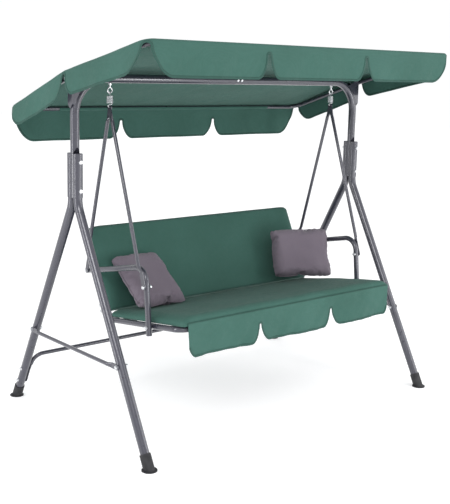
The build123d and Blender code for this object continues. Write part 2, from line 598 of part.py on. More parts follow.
hook_inner = HOOK_RADIUS - SPRING_WIRE_D / 2
upper_hook_z = PIVOT_Z + EYE_WIRE_D / 2 + HOOK_PLAY - hook_inner
coil_top_z = upper_hook_z - HOOK_REACH
coil_bottom_z = coil_top_z - SPRING_TURNS * SPRING_PITCH
lower_hook_z = coil_bottom_z - HOOK_REACH
rod_top_z = lower_hook_z - HOOK_RADIUS + HOOK_SEAT + HOOK_PLAY - ROD_HOLE_D / 2
for side_name, side in SIDES.items():
    hang_x = side * HANG_X
    with BuildLine() as wire_line:
        coil = Helix(SPRING_PITCH, SPRING_TURNS * SPRING_PITCH, SPRING_RADIUS,
                     center=(hang_x, 0, coil_bottom_z))
        upper_start = Vector(hang_x, HOOK_RADIUS, upper_hook_z)
        Spline(coil @ 1, upper_start, tangents=(coil % 1, (0, 0, 1)))
        ThreePointArc(upper_start, (hang_x, 0, upper_hook_z + HOOK_RADIUS),
                      (hang_x, -HOOK_RADIUS, upper_hook_z))
        lower_start = Vector(hang_x - HOOK_RADIUS, 0, lower_hook_z)
        passing = Vector(hang_x, -SPRING_RADIUS + SPRING_WIRE_D, coil_bottom_z - HOOK_REACH / 2)
        Spline(coil @ 0, passing, lower_start, tangents=(coil % 0 * -1, (0, 0, -1)))
        ThreePointArc(lower_start, (hang_x, 0, lower_hook_z - HOOK_RADIUS),
                      (hang_x + HOOK_RADIUS, 0, lower_hook_z))
    with BuildPart() as spring:
        for edge in wire_line.edges():
            section = disc(Plane(origin=edge @ 0, z_dir=edge % 0), SPRING_WIRE_D)
            sweep(section.face(), path=edge, is_frenet=True)
    save(spring, f"spring_{side_name}")

rod_feet = {"front": ROD_FRONT_FOOT, "rear": ROD_REAR_FOOT}
tongue_x = ARMREST_X + SEAT_TUBE_D / 2 + FACE_GAP + PRESSED_T / 2
for side_name, side in SIDES.items():
    for end_name, (foot_y, foot_z) in rod_feet.items():
        rod_x = side * HANG_X
        stack = ENDS[end_name] * (PRESSED_T / 2 + TONGUE_PLAY)
        top_hole = Vector(rod_x, 0, rod_top_z)
        foot_hole = Vector(rod_x, foot_y, foot_z)
        rise = (top_hole - foot_hole).normalized()
        overrun = PRESSED_WIDTH * ROD_D / 2
        top_end = Plane(origin=top_hole + rise * (overrun - ROD_TOP_FLAT - PRESS_TAPER),
                        x_dir=(1, 0, 0), z_dir=rise)
        foot_end = Plane(origin=foot_hole - rise * (overrun - ROD_FOOT_FLAT - PRESS_TAPER),
                         x_dir=(1, 0, 0), z_dir=rise * -1)
        with BuildPart() as rod:
            span = (top_end.origin - foot_end.origin).length
            extrude(ring(Plane(origin=foot_end.origin, z_dir=rise), ROD_D, ROD_WALL), amount=span)
            add_pressed_end(top_end, stack, ROD_D, ROD_TOP_FLAT, PRESS_TAPER)
            add_pressed_end(foot_end, side * tongue_x - rod_x, ROD_D, ROD_FOOT_FLAT, PRESS_TAPER)
            drill(Plane(origin=top_hole - Vector(ROD_D, 0, 0), z_dir=(1, 0, 0)), ROD_HOLE_D, 2 * ROD_D)
            drill(Plane(origin=foot_hole - Vector(ROD_D, 0, 0), z_dir=(1, 0, 0)),
                  BOLT_D + 2 * BOLT_HOLE_CLEARANCE, 2 * ROD_D)
        save(rod, f"hanging_rod_{end_name}_{side_name}")

# ---------------------------------------------------------------- seat and back frames
bolt_hole = BOLT_D + 2 * BOLT_HOLE_CLEARANCE
with BuildPart() as seat_frame:
    add_bent_tube([seat_point(-RAIL_X, HEEL_GAP, 0), seat_point(-RAIL_X, SEAT_DEPTH, 0),
                   seat_point(RAIL_X, SEAT_DEPTH, 0), seat_point(RAIL_X, HEEL_GAP, 0)],
                  SEAT_BEND, SEAT_TUBE_D, SEAT_TUBE_WALL)
    for side in SIDES.values():
        holes = [seat_point(side * RAIL_X, run, 0) for run in HEEL_BOLT_RUNS]
        holes.append(Vector(side * RAIL_X, *ARMREST_FOOT_BOLT))
        for hole in holes:
            drill(Plane(origin=hole - Vector(SEAT_TUBE_D, 0, 0), z_dir=(1, 0, 0)), bolt_hole,
                  2 * SEAT_TUBE_D)
save(seat_frame, "seat_frame")

with BuildPart() as back_frame:
    add_bent_tube([back_point(-RAIL_X, HEEL_GAP, 0), back_point(-RAIL_X, BACK_HEIGHT, 0),
                   back_point(RAIL_X, BACK_HEIGHT, 0), back_point(RAIL_X, HEEL_GAP, 0)],
                  SEAT_BEND, SEAT_TUBE_D, SEAT_TUBE_WALL)
    for side in SIDES.values():
        holes = [back_point(side * RAIL_X, run, 0) for run in HEEL_BOLT_RUNS]
        holes.append(Vector(side * RAIL_X, *ROD_REAR_FOOT))
        for hole in holes:
            drill(Plane(origin=hole - Vector(SEAT_TUBE_D, 0, 0), z_dir=(1, 0, 0)), bolt_hole,
                  2 * SEAT_TUBE_D)
save(back_frame, "back_frame")

cross_half = RAIL_X - SEAT_TUBE_D / 2 + CROSS_RAIL_COPE
for label, spot in (("seat_rear_rail", seat_point(0, HEEL_BOLT_RUNS[1] + REAR_RAIL_RUN, 0)),
                    ("back_lower_rail", back_point(0, HEEL_BOLT_RUNS[1] + LOWER_RAIL_RUN, 0))):
    with BuildPart() as cross_rail:
        extrude(ring(Plane(origin=spot - Vector(cross_half, 0, 0), z_dir=(1, 0, 0)),
                     CROSS_RAIL_D, SEAT_TUBE_WALL), amount=2 * cross_half)
        for side in SIDES.values():
            tube_axis = Vector(0, -cos(radians(SEAT_TILT)), sin(radians(SEAT_TILT)))
            if label == "back_lower_rail":
                tube_axis = Vector(0, sin(radians(BACK_RECLINE)), cos(radians(BACK_RECLINE)))
            cope = Plane(origin=Vector(side * RAIL_X, spot.Y, spot.Z) - tube_axis * COPE_REACH,
                         z_dir=tube_axis)
            drill(cope, SEAT_TUBE_D, 2 * COPE_REACH)
    save(cross_rail, label)

plate_x = RAIL_X - SEAT_TUBE_D / 2 - HEEL_PLATE_T
for side_name, side in SIDES.items():
    with BuildPart() as corner_bracket:
        with BuildSketch(Plane.YZ.offset(side * plate_x)) as plate:
            plate_run = HEEL_BOLT_RUNS[1] + HEEL_PLATE_END
            ends = [seat_point(0, plate_run, 0), seat_point(0, 0, 0), back_point(0, plate_run, 0)]
            with BuildLine():
                spine = Polyline(*[(spot.Y, spot.Z) for spot in ends])
                offset(spine, amount=SEAT_TUBE_D / 2 - HEEL_PLATE_INSET, side=Side.BOTH)
            make_face()
        extrude(plate.sketch, amount=side * HEEL_PLATE_T)
        for run in HEEL_BOLT_RUNS:
            for hole in (seat_point(side * plate_x, run, 0), back_point(side * plate_x, run, 0)):
                drill(Plane(origin=hole - Vector(2 * HEEL_PLATE_T, 0, 0), z_dir=(1, 0, 0)), bolt_hole,
                      4 * HEEL_PLATE_T)
    save(corner_bracket, f"corner_bracket_{side_name}")

for side_name, side in SIDES.items():
    with BuildPart() as armrest:
        add_bent_tube([(side * ARMREST_X, *ARMREST_REAR), (side * ARMREST_X, *ARMREST_CORNER),
                       (side * ARMREST_X, *ARMREST_FOOT)], ARMREST_BEND, SEAT_TUBE_D, SEAT_TUBE_WALL)
        for y, z in (ROD_REAR_FOOT, ROD_FRONT_FOOT, ARMREST_FOOT_BOLT):
            drill(Plane(origin=(side * ARMREST_X - SEAT_TUBE_D, y, z), z_dir=(1, 0, 0)),
                  bolt_hole, 2 * SEAT_TUBE_D)
    save(armrest, f"armrest_{side_name}")

rod_face_x = tongue_x + PRESSED_T / 2
armrest_outer_x = ARMREST_X + SEAT_TUBE_D / 2
rail_inner_x = RAIL_X - SEAT_TUBE_D / 2
with BuildPart() as seat_bolts:
    for side in SIDES.values():
        for (y, z), outer_x, inner_x in ((ROD_REAR_FOOT, rod_face_x, rail_inner_x),
                                         (ROD_FRONT_FOOT, rod_face_x, ARMREST_X - SEAT_TUBE_D / 2),
                                         (ARMREST_FOOT_BOLT, armrest_outer_x, rail_inner_x)):
            add_bolt(Plane(origin=(side * outer_x, y, z), z_dir=(-side, 0, 0)), outer_x - inner_x)
        for run in HEEL_BOLT_RUNS:
            for spot in (seat_point(0, run, 0), back_point(0, run, 0)):
                under_head = (side * (RAIL_X + SEAT_TUBE_D / 2), spot.Y, spot.Z)
                add_bolt(Plane(origin=under_head, z_dir=(-side, 0, 0)), SEAT_TUBE_D + HEEL_PLATE_T)
save(seat_bolts, "seat_frame_bolts")

# ---------------------------------------------------------------- slings, cushions and valance
sling_radius = SEAT_TUBE_D / 2 + SLING_PLAY
cross_radius = CROSS_RAIL_D / 2 + SLING_PLAY
for label, point, first, last in (
        ("seat_sling", seat_point, HEEL_BOLT_RUNS[1] + REAR_RAIL_RUN, SEAT_DEPTH),
        ("back_sling", back_point, HEEL_BOLT_RUNS[1] + LOWER_RAIL_RUN, BACK_HEIGHT)):
    web = [point(0, first, cross_radius), point(0, last, sling_radius),
           point(0, last, sling_radius + FABRIC_T), point(0, first, cross_radius + FABRIC_T)]
    with BuildPart() as sling:
        with BuildSketch(Plane.YZ.offset(-SLING_HALF_WIDTH)) as profile:
            with BuildLine():
                Polyline(*[(spot.Y, spot.Z) for spot in web], close=True)
            make_face()
            for run, radius in ((first, cross_radius), (last, sling_radius)):
                centre = point(0, run, 0)
                with Locations((centre.Y, centre.Z)):
                    Circle(radius + FABRIC_T)
            for run, radius in ((first, cross_radius), (last, sling_radius)):
                centre = point(0, run, 0)
                with Locations((centre.Y, centre.Z)):
                    Circle(radius, mode=Mode.SUBTRACT)
        extrude(profile.sketch, amount=2 * SLING_HALF_WIDTH)
    save(sling, label)

pad_base = sling_radius + FABRIC_T + CUSHION_GAP
pad_front = SEAT_DEPTH + SEAT_PAD_LIP
seat_pad = [seat_point(0, SEAT_PAD_START, pad_base), seat_point(0, pad_front, pad_base),
            seat_point(0, pad_front, SEAT_PAD_FRONT), seat_point(0, SEAT_PAD_START, SEAT_PAD_REAR)]
with BuildPart() as seat_cushion:
    seat_outline = outline_yz(-CUSHION_HALF_WIDTH, [(spot.Y, spot.Z) for spot in seat_pad])
    extrude(seat_outline, amount=2 * CUSHION_HALF_WIDTH)
    long_edges = seat_cushion.edges().filter_by(Axis.X)
    fillet(long_edges.sort_by(Axis.Z)[-1], SEAT_PAD_ROUND)
    fillet(seat_cushion.edges().filter_by(Axis.X).sort_by(Axis.Y)[-2:], SEAT_PAD_EDGE)
save(seat_cushion, "seat_cushion")

hood_inner = BACK_HEIGHT + pad_base
hood_outer = hood_inner + BACK_HOOD_T
back_pad = [(BACK_PAD_START, pad_base), (BACK_PAD_START, BACK_PAD), (hood_outer, BACK_PAD),
            (hood_outer, -pad_base - FABRIC_T), (BACK_FLAP_END, -pad_base - FABRIC_T),
            (BACK_FLAP_END, -pad_base), (hood_inner, -pad_base), (hood_inner, pad_base)]
back_spots = [back_point(0, run, lift) for run, lift in back_pad]
with BuildPart() as back_cushion:
    back_outline = outline_yz(-BACK_HALF_WIDTH, [(spot.Y, spot.Z) for spot in back_spots])
    extrude(back_outline, amount=2 * BACK_HALF_WIDTH)
    long_edges = back_cushion.edges().filter_by(Axis.X)
    fillet(long_edges.sort_by(Axis.Z)[-1], BACK_PAD_ROUND)
save(back_cushion, "back_cushion")


def hanging_strip(plane, top, drop, notches, flare):
    """A strip hanging from the top line, notched, with rounded lower corners.

    notches holds (position, apex height); flare holds the radii of the two
    outer corners.
    """
    with BuildSketch(plane) as strip:
        with BuildLine():
            Polyline(*top, *[(x, y - drop) for x, y in reversed(top)], close=True)
        make_face()
        for x, apex in notches:
            with Locations((x, apex - NOTCH_WIDTH / 2)):
                Circle(NOTCH_WIDTH / 2, mode=Mode.SUBTRACT)
            with Locations((x, apex - NOTCH_WIDTH / 2 - drop)):
                Rectangle(NOTCH_WIDTH, 2 * drop, mode=Mode.SUBTRACT)
        columns = strip.vertices().group_by(Axis.X)
        beside = [column.sort_by(Axis.Y)[0] for column in columns
                  if any(abs(abs(column[0].X - x) - NOTCH_WIDTH / 2) < 0.1 for x, apex in notches)]
        fillet(beside, NOTCH_RADIUS)
        fillet(strip.vertices().group_by(Axis.X)[0].sort_by(Axis.Y)[0], flare[0])
        fillet(strip.vertices().group_by(Axis.X)[-1].sort_by(Axis.Y)[0], flare[1])
    return strip.sketch


valance_y = min(seat_pad[2].Y - FABRIC_T, seat_pad[1].Y) - CUSHION_GAP
hem_plane = Plane(origin=(0, valance_y, VALANCE_TOP_Z), x_dir=(1, 0, 0), z_dir=(0, -1, 0))
with BuildPart() as seat_valance:
    hem_notches = [(side * VALANCE_NOTCH_X, -VALANCE_NOTCH_DEPTH) for side in SIDES.values()]
    extrude(hanging_strip(hem_plane, [(-VALANCE_HALF_WIDTH, 0), (VALANCE_HALF_WIDTH, 0)], VALANCE_DROP,
                          hem_notches, (NOTCH_RADIUS, NOTCH_RADIUS)), amount=FABRIC_T)
save(seat_valance, "seat_valance")


# ---------------------------------------------------------------- pillows
def leaning_plane(at, turn, lean):
    """A plane facing forwards, turned about Z, its top leaning back."""
    across = Vector(cos(radians(turn)), sin(radians(turn)), 0)
    back = Vector(-sin(radians(turn)), cos(radians(turn)), 0)
    up = back * sin(radians(lean)) + Vector(0, 0, cos(radians(lean)))
    return Plane(origin=at, x_dir=across, z_dir=across.cross(up))


for label, centre, across, tall in (
        ("pillow_left", leaning_plane(LEFT_PILLOW_AT, 0, LEFT_PILLOW_LEAN), PILLOW_SHORT, PILLOW_LONG),
        ("pillow_right", leaning_plane(RIGHT_PILLOW_AT, RIGHT_PILLOW_TURN, RIGHT_PILLOW_LEAN),
         PILLOW_LONG, PILLOW_SHORT)):
    with BuildPart() as pillow:
        sections = []
        rear_half = [(-level, fullness) for level, fullness in reversed(PILLOW_FULLNESS)]
        for level, fullness in (*rear_half, *PILLOW_FULLNESS):
            with BuildSketch(centre.offset(level * PILLOW_T / 2)) as section:
                RectangleRounded(across * fullness, tall * fullness, PILLOW_CORNER * fullness)
            sections.append(section.sketch)
        loft(sections, ruled=True)
    save(pillow, label)

# ---------------------------------------------------------------- canopy frame
canopy_bore = CANOPY_TUBE_D - 2 * CANOPY_TUBE_WALL
side_joint_run = CANOPY_BEND + CORNER_SIDE_RUN
cross_joint_x = CANOPY_X - CANOPY_BEND - CORNER_CROSS_RUN
reaches = {"front": -CANOPY_FRONT, "rear": CANOPY_REAR}
for side_name, side in SIDES.items():
    bar_x = side * CANOPY_X
    with BuildPart() as side_bar:
        add_bent_tube([canopy_point(bar_x, side_joint_run - CANOPY_FRONT, 0), canopy_point(bar_x, 0, 0),
                       canopy_point(bar_x, CANOPY_REAR - side_joint_run, 0)],
                      CANOPY_KNEE_BEND, CANOPY_TUBE_D, CANOPY_TUBE_WALL)
        drill(Plane(origin=(bar_x - CANOPY_TUBE_D, 0, TILT_Z), z_dir=(1, 0, 0)),
              BOLT_D + 2 * SPINDLE_CLEARANCE, 2 * CANOPY_TUBE_D)
    save(side_bar, f"canopy_side_bar_{side_name}")
    for end_name, reach in reaches.items():
        corner = canopy_point(bar_x, reach, 0)
        side_joint = canopy_point(bar_x, reach - ENDS[end_name] * side_joint_run, 0)
        cross_joint = canopy_point(side * cross_joint_x, reach, 0)
        with BuildPart() as corner_tube:
            add_bent_tube([side_joint, corner, cross_joint], CANOPY_BEND, CANOPY_TUBE_D, CANOPY_TUBE_WALL)
            for joint in (side_joint, cross_joint):
                add_spigot(Plane(origin=joint, z_dir=joint - corner), canopy_bore, CANOPY_TUBE_WALL,
                           CANOPY_SPIGOT)
        save(corner_tube, f"canopy_corner_{end_name}_{side_name}")

for end_name, reach in reaches.items():
    with BuildPart() as cross_bar:
        start = Plane(origin=canopy_point(-cross_joint_x, reach, 0), z_dir=(1, 0, 0))
        extrude(ring(start, CANOPY_TUBE_D, CANOPY_TUBE_WALL), amount=2 * cross_joint_x)
    save(cross_bar, f"canopy_{end_name}_bar")

# ---------------------------------------------------------------- canopy fabric
front_edge = canopy_point(0, -CANOPY_FRONT - ROOF_OVERHANG, ROOF_EDGE_LIFT)
rear_edge = canopy_point(0, CANOPY_REAR + ROOF_OVERHANG, ROOF_EDGE_LIFT)


def roof_section(x, ridge_lift):
    under = [(front_edge.Y, front_edge.Z), (0, TILT_Z + ridge_lift), (rear_edge.Y, rear_edge.Z)]
    return outline_yz(x, under + [(y, z + FABRIC_T) for y, z in reversed(under)])


with BuildPart() as roof:
    loft([roof_section(x, ridge_lift) for x, ridge_lift in (
        (-ROOF_HALF_WIDTH, ROOF_SIDE_LIFT), (-ROOF_LIFT_X, ROOF_LIFT),
        (ROOF_LIFT_X, ROOF_LIFT), (ROOF_HALF_WIDTH, ROOF_SIDE_LIFT))], ruled=True)
save(roof, "canopy_roof")

for end_name, edge, drop, (notch_x, apex), flare in (
        ("front", front_edge, FRONT_VALANCE, FRONT_NOTCH, FRONT_FLARE),
        ("rear", rear_edge, REAR_VALANCE, REAR_NOTCH, REAR_FLARE)):
    end = ENDS[end_name]
    strip_plane = Plane(origin=(0, edge.Y, edge.Z + FABRIC_T), x_dir=(1, 0, 0), z_dir=(0, -1, 0))
    with BuildPart() as valance:
        extrude(hanging_strip(strip_plane, [(-ROOF_HALF_WIDTH, 0), (ROOF_HALF_WIDTH, 0)], drop,
                              [(-notch_x, -apex), (notch_x, -apex)], flare), amount=-end * FABRIC_T)
    save(valance, f"canopy_valance_{end_name}")

side_top = [(front_edge.Y, front_edge.Z + FABRIC_T), (0, TILT_Z + ROOF_SIDE_LIFT + FABRIC_T),
            (rear_edge.Y, rear_edge.Z + FABRIC_T)]
for side_name, side in SIDES.items():
    strip_plane = Plane.YZ.offset(side * ROOF_HALF_WIDTH)
    with BuildPart() as valance:
        extrude(hanging_strip(strip_plane, side_top, SIDE_VALANCE,
                              [(0, side_top[1][1] - SIDE_NOTCH_DEPTH)], SIDE_FLARE), amount=side * FABRIC_T)
    save(valance, f"canopy_valance_{side_name}")
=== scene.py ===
import json
from math import cos, exp, pi, radians, sin, sqrt

import bmesh
import bpy
from mathutils import Matrix, Vector, noise


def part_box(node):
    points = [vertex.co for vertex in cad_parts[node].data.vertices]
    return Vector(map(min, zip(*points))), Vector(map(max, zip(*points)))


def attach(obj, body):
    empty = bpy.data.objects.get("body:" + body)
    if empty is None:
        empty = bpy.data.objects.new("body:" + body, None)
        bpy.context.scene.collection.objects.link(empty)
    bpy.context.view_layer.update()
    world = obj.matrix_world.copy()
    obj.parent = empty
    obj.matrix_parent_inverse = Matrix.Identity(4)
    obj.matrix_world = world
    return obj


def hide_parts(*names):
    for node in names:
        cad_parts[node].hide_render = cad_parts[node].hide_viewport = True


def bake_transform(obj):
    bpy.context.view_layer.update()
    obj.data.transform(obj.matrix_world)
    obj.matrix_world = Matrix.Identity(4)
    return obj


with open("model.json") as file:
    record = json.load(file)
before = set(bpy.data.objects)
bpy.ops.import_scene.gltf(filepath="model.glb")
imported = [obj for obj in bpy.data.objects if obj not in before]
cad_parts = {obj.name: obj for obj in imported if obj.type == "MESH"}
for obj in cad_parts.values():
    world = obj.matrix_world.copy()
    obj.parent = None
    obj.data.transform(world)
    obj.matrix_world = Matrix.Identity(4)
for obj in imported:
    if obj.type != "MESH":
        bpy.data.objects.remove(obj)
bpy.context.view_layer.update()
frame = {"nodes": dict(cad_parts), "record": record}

scene = bpy.context.scene

# ---------------------------------------------------------------- shared sizes, metres and radians
SHEET_T = 0.0012                # canopy and valance cloth
SEAT_TILT = radians(7.5)        # the seat rises towards its front edge
BACK_RECLINE = radians(25)      # from upright
HEEL_Y, HEEL_Z = 0.0975, 0.441  # the line where the seat plane meets the back plane
TILT_AXIS_Z = 1.502             # the canopy's tilt bolts


def seat_point(x, run, lift):
    """A point run metres forward of the heel along the seat, and lift metres above its plane."""
    return Vector((x, HEEL_Y - run * cos(SEAT_TILT) + lift * sin(SEAT_TILT),
                   HEEL_Z + run * sin(SEAT_TILT) + lift * cos(SEAT_TILT)))


def back_point(x, run, lift):
    """A point run metres up the back from the heel, and lift metres in front of its plane."""
    return Vector((x, HEEL_Y + run * sin(BACK_RECLINE) - lift * cos(BACK_RECLINE),
                   HEEL_Z + run * cos(BACK_RECLINE) + lift * sin(BACK_RECLINE)))


def ease(t):
    t = min(1.0, max(0.0, t))
    return t * t * (3 - 2 * t)


def quarter_round(distance, radius):
    """0 at an edge, rising on a quarter circle to 1 where the radius ends."""
    return sqrt(max(0.0, 1 - (1 - min(1.0, distance / radius)) ** 2))


def at_least(low, share):
    """A share from 0 to 1, spread over low to 1."""
    return low + (1 - low) * share


def ripple(x, y, z=0.0):
    """Smooth noise from about -1 to 1, the same on every run."""
    return noise.noise(Vector((x, y, z)))


# ---------------------------------------------------------------- materials
MIX_FACTOR, MIX_A, MIX_B, MIX_COLOUR = 0, 6, 7, 2  # socket numbers of a colour Mix node
WAVE_PERIOD = 0.314                                # of a wave texture whose scale is 1
# painted shade in the gaps between threads: how dark, as a share of the cloth's dark tone
THREAD_GAP_PAINTED_SHADE = 0.35
BINDING_SHADE = 0.75


def shade(colour, factor):
    return tuple(channel * factor for channel in colour)


class Shader:
    """One procedural material: a principled shader and the nodes that feed it."""

    def __init__(self, name, **inputs):
        self.material = bpy.data.materials.new(name)
        self.material.use_nodes = True
        self.tree = self.material.node_tree
        self.main = self.tree.nodes["Principled BSDF"]
        for key, value in inputs.items():
            self.main.inputs[key.replace("_", " ")].default_value = value
        self.place = self.node("ShaderNodeTexCoord").outputs["Object"]

    def node(self, kind, values=None, **settings):
        made = self.tree.nodes.new(kind)
        for key, value in settings.items():
            setattr(made, key, value)
        for key, value in (values or {}).items():
            if isinstance(value, bpy.types.NodeSocket):
                self.tree.links.new(value, made.inputs[key])
            else:
                made.inputs[key].default_value = value
        return made

    def noise(self, scale, detail=2.0, place=None):
        values = {"Vector": place or self.place, "Scale": scale, "Detail": detail, "Roughness": 0.5}
        return self.node("ShaderNodeTexNoise", values).outputs["Fac"]

    def stretch(self, scale):
        return self.node("ShaderNodeMapping", {"Vector": self.place, "Scale": scale}).outputs["Vector"]

    def add(self, a, b):
        return self.node("ShaderNodeMath", {0: a, 1: b}, operation="ADD").outputs[0]

    def remap(self, value, low, high, to_low, to_high):
        return self.node("ShaderNodeMapRange", {0: value, 1: low, 2: high, 3: to_low, 4: to_high}).outputs[0]

    def ramp(self, value, stops):
        made = self.node("ShaderNodeValToRGB", {"Fac": value})
        ramp = made.color_ramp
        ramp.elements[0].position, ramp.elements[0].color = stops[0][0], (*stops[0][1], 1)
        ramp.elements[1].position, ramp.elements[1].color = stops[-1][0], (*stops[-1][1], 1)
        for position, colour in stops[1:-1]:
            ramp.elements.new(position).color = (*colour, 1)
        return made.outputs["Color"]

    def mix(self, factor, a, b):
        made = self.node("ShaderNodeMix", {MIX_FACTOR: factor}, data_type="RGBA")
        for index, value in ((MIX_A, a), (MIX_B, b)):
            if isinstance(value, bpy.types.NodeSocket):
                self.tree.links.new(value, made.inputs[index])
            else:
                made.inputs[index].default_value = (*value, 1)
        return made.outputs[MIX_COLOUR]

    def weave(self, thread):
        """Crossed threads: on any face two of the three wave sets show."""
        height = None
        for direction in ("X", "Y", "Z"):
            values = {"Vector": self.place, "Scale": WAVE_PERIOD / thread, "Distortion": 0.4,
                      "Detail": 1.0, "Detail Scale": 2.0}
            band = self.node("ShaderNodeTexWave", values, wave_type="BANDS",
                             bands_direction=direction).outputs["Fac"]
            height = band if height is None else self.add(height, band)
        return height

    def finish(self, colour, roughness=None, bump=None, distance=0.0003, strength=0.4):
        self.tree.links.new(colour, self.main.inputs["Base Color"])
        if roughness is not None:
            self.tree.links.new(roughness, self.main.inputs["Roughness"])
        if bump is not None:
            made = self.node("ShaderNodeBump", {"Height": bump, "Strength": strength, "Distance": distance})
            self.tree.links.new(made.outputs["Normal"], self.main.inputs["Normal"])
        return self.material


def powder_coat():
    s = Shader("powder_coat", Metallic=0.2, Coat_Weight=0.8, Coat_Roughness=0.14, Specular_IOR_Level=0.5)
    tone = s.ramp(s.noise(5.0, 3.0), [(0.3, (0.034, 0.034, 0.049)), (0.7, (0.041, 0.041, 0.058))])
    fleck = s.remap(s.noise(900.0, 1.0), 0.62, 0.78, 0.0, 0.35)
    colour = s.mix(fleck, tone, (0.20, 0.20, 0.23))
    rough = s.remap(s.noise(38.0, 3.0), 0.3, 0.7, 0.26, 0.34)
    return s.finish(colour, rough, s.noise(620.0), distance=0.0001, strength=0.12)


def zinc():
    s = Shader("zinc_plate", Metallic=0.95, Specular_IOR_Level=0.5, Anisotropic=0.25)
    streak = s.noise(60.0, 4.0, place=s.stretch((1, 1, 9)))
    colour = s.ramp(streak, [(0.3, (0.50, 0.51, 0.53)), (0.7, (0.74, 0.75, 0.77))])
    rough = s.remap(s.noise(240.0, 3.0), 0.3, 0.7, 0.2, 0.42)
    return s.finish(colour, rough, streak, distance=0.0002, strength=0.2)


def rubber():
    s = Shader("moulded_rubber", Specular_IOR_Level=0.35)
    colour = s.ramp(s.noise(45.0, 4.0), [(0.35, (0.012, 0.012, 0.014)), (0.7, (0.03, 0.03, 0.033))])
    rough = s.remap(s.noise(90.0), 0.3, 0.7, 0.5, 0.75)
    return s.finish(colour, rough, s.noise(900.0), strength=0.35)


def cloth(name, tones, thread=0.0013, sheen=0.05, strength=0.4, thread_gap_shade=0.12):
    """Woven cloth: tones are its dark, middle and light colour, thread the width of one thread in metres, and
    thread_gap_shade how strongly painted shade darkens the gaps between threads.
    """
    dark, middle, light = tones
    s = Shader(name, Specular_IOR_Level=0.15, Sheen_Weight=sheen, Sheen_Roughness=0.45)
    broad = s.ramp(s.noise(3.2, 3.0), [(0.28, dark), (0.5, middle), (0.74, light)])
    slub = s.noise(420.0, place=s.stretch((1, 0.16, 0.16)))
    weave = s.weave(thread)
    # painted shade between the threads: where the weave is low, the colour darkens towards a deep copy of the
    # dark tone
    gap = s.remap(weave, 0.4, 2.4, thread_gap_shade, 0.0)
    colour = s.mix(gap, broad, shade(dark, THREAD_GAP_PAINTED_SHADE))
    colour = s.mix(s.remap(slub, 0.5, 0.75, 0.0, 0.12), colour, light)
    rough = s.remap(s.noise(55.0), 0.3, 0.7, 0.74, 0.9)
    return s.finish(colour, rough, s.add(weave, slub), strength=strength)


GREEN = ((0.037, 0.097, 0.078), (0.042, 0.108, 0.088), (0.048, 0.120, 0.099))
DARK_GREEN = tuple(shade(tone, BINDING_SHADE) for tone in GREEN)
BLACK = ((0.018, 0.018, 0.02), (0.026, 0.026, 0.028), (0.04, 0.04, 0.043))
MAUVE = ((0.132, 0.110, 0.137), (0.157, 0.132, 0.162), (0.186, 0.158, 0.190))
materials = {
    "frame_steel": powder_coat(),
    "zinc": zinc(),
    "rubber": rubber(),
    "canopy_fabric": cloth("canopy_cloth", GREEN),
    "cushion_fabric": cloth("cushion_cloth", GREEN),
    "binding": cloth("binding_tape", DARK_GREEN, thread=0.0009),
    "sling_fabric": cloth("sling_mesh", BLACK, thread=0.0024, strength=0.7, thread_gap_shade=0.3),
    "pillow_fabric": cloth("pillow_cloth", MAUVE, thread=0.0011, sheen=0.12),
}
for subpart in frame["record"]["subparts"]:
    part = frame["nodes"][subpart["node"]]
    if not part.material_slots:
        part.data.materials.append(None)
    for slot in part.material_slots:
        slot.material = materials[subpart["material_slot"]]


# ---------------------------------------------------------------- mesh helpers
def make_mesh(name, points, faces, material):
    mesh = bpy.data.meshes.new(name)
    mesh.from_pydata(points, [], faces)
    mesh.validate()
    mesh.update()
    mesh.shade_smooth()
    piece = bpy.data.objects.new(name, mesh)
    scene.collection.objects.link(piece)
    mesh.materials.append(materials[material])
    return piece


def grid(name, rows, material, round_u=False, round_v=False, caps=False):
    """A surface through rows of points; round_u joins each row's ends, round_v the first and last row."""
    count = len(rows[0])
    points = [point for row in rows for point in row]
    faces = []
    for j in range(len(rows) if round_v else len(rows) - 1):
        k = (j + 1) % len(rows)
        for i in range(count if round_u else count - 1):
            n = (i + 1) % count
            faces.append((j * count + i, j * count + n, k * count + n, k * count + i))
    if caps:
        faces.append(tuple(reversed(range(count))))
        faces.append(tuple((len(rows) - 1) * count + i for i in range(count)))
    return make_mesh(name, points, faces, material)


def thicken(piece, thickness=SHEET_T):
    """Give a surface its cloth's thickness, half of it on each side."""
    made = piece.modifiers.new("thickness", "SOLIDIFY")
    made.thickness = thickness
    made.offset = 0


def outward(piece):
    """Turn the faces of a closed piece outwards."""
    work = bmesh.new()
    work.from_mesh(piece.data)
    bmesh.ops.recalc_face_normals(work, faces=work.faces)
    work.to_mesh(piece.data)
    work.free()


def neighbours(path, i, closed):
    """The points before and after point i; at an open path's ends, the point itself."""
    ahead = path[(i + 1) % len(path)] if closed or i + 1 < len(path) else path[i]
    behind = path[i - 1] if closed or i else path[i]
    return behind, ahead


def wire(name, path, radius, material, sides=10, closed=False):
    """A round wire along a list of points."""
    rows = []
    side = Vector((0, 0, 1))
    for i, point in enumerate(path):
        behind, ahead = neighbours(path, i, closed)
        along = (ahead - behind).normalized()
        side = side - along * side.dot(along)
        if side.length < 1e-4:
            side = along.orthogonal()
        side.normalize()
        other = along.cross(side)
        rows.append([point + (side * cos(2 * pi * k / sides) + other * sin(2 * pi * k / sides)) * radius
                     for k in range(sides)])
    piece = grid(name, rows, material, round_u=True, round_v=closed, caps=not closed)
    outward(piece)
    return piece


# ---------------------------------------------------------------- scalloped hems
END_DEPTH = 0.1             # an open strip's end edges are straight down to here
BELL_POWER = 0.62           # below 1 the edge beside a notch flares like a bell
NEAR_NOTCH = 0.0003         # columns this far to either side of a notch's edge
FLARE_STEPS = (0.01, 0.03, 0.07, 0.13, 0.21, 0.31, 0.43, 0.57, 0.75, 1.0)
CLOSEST_COLUMNS = 0.0005


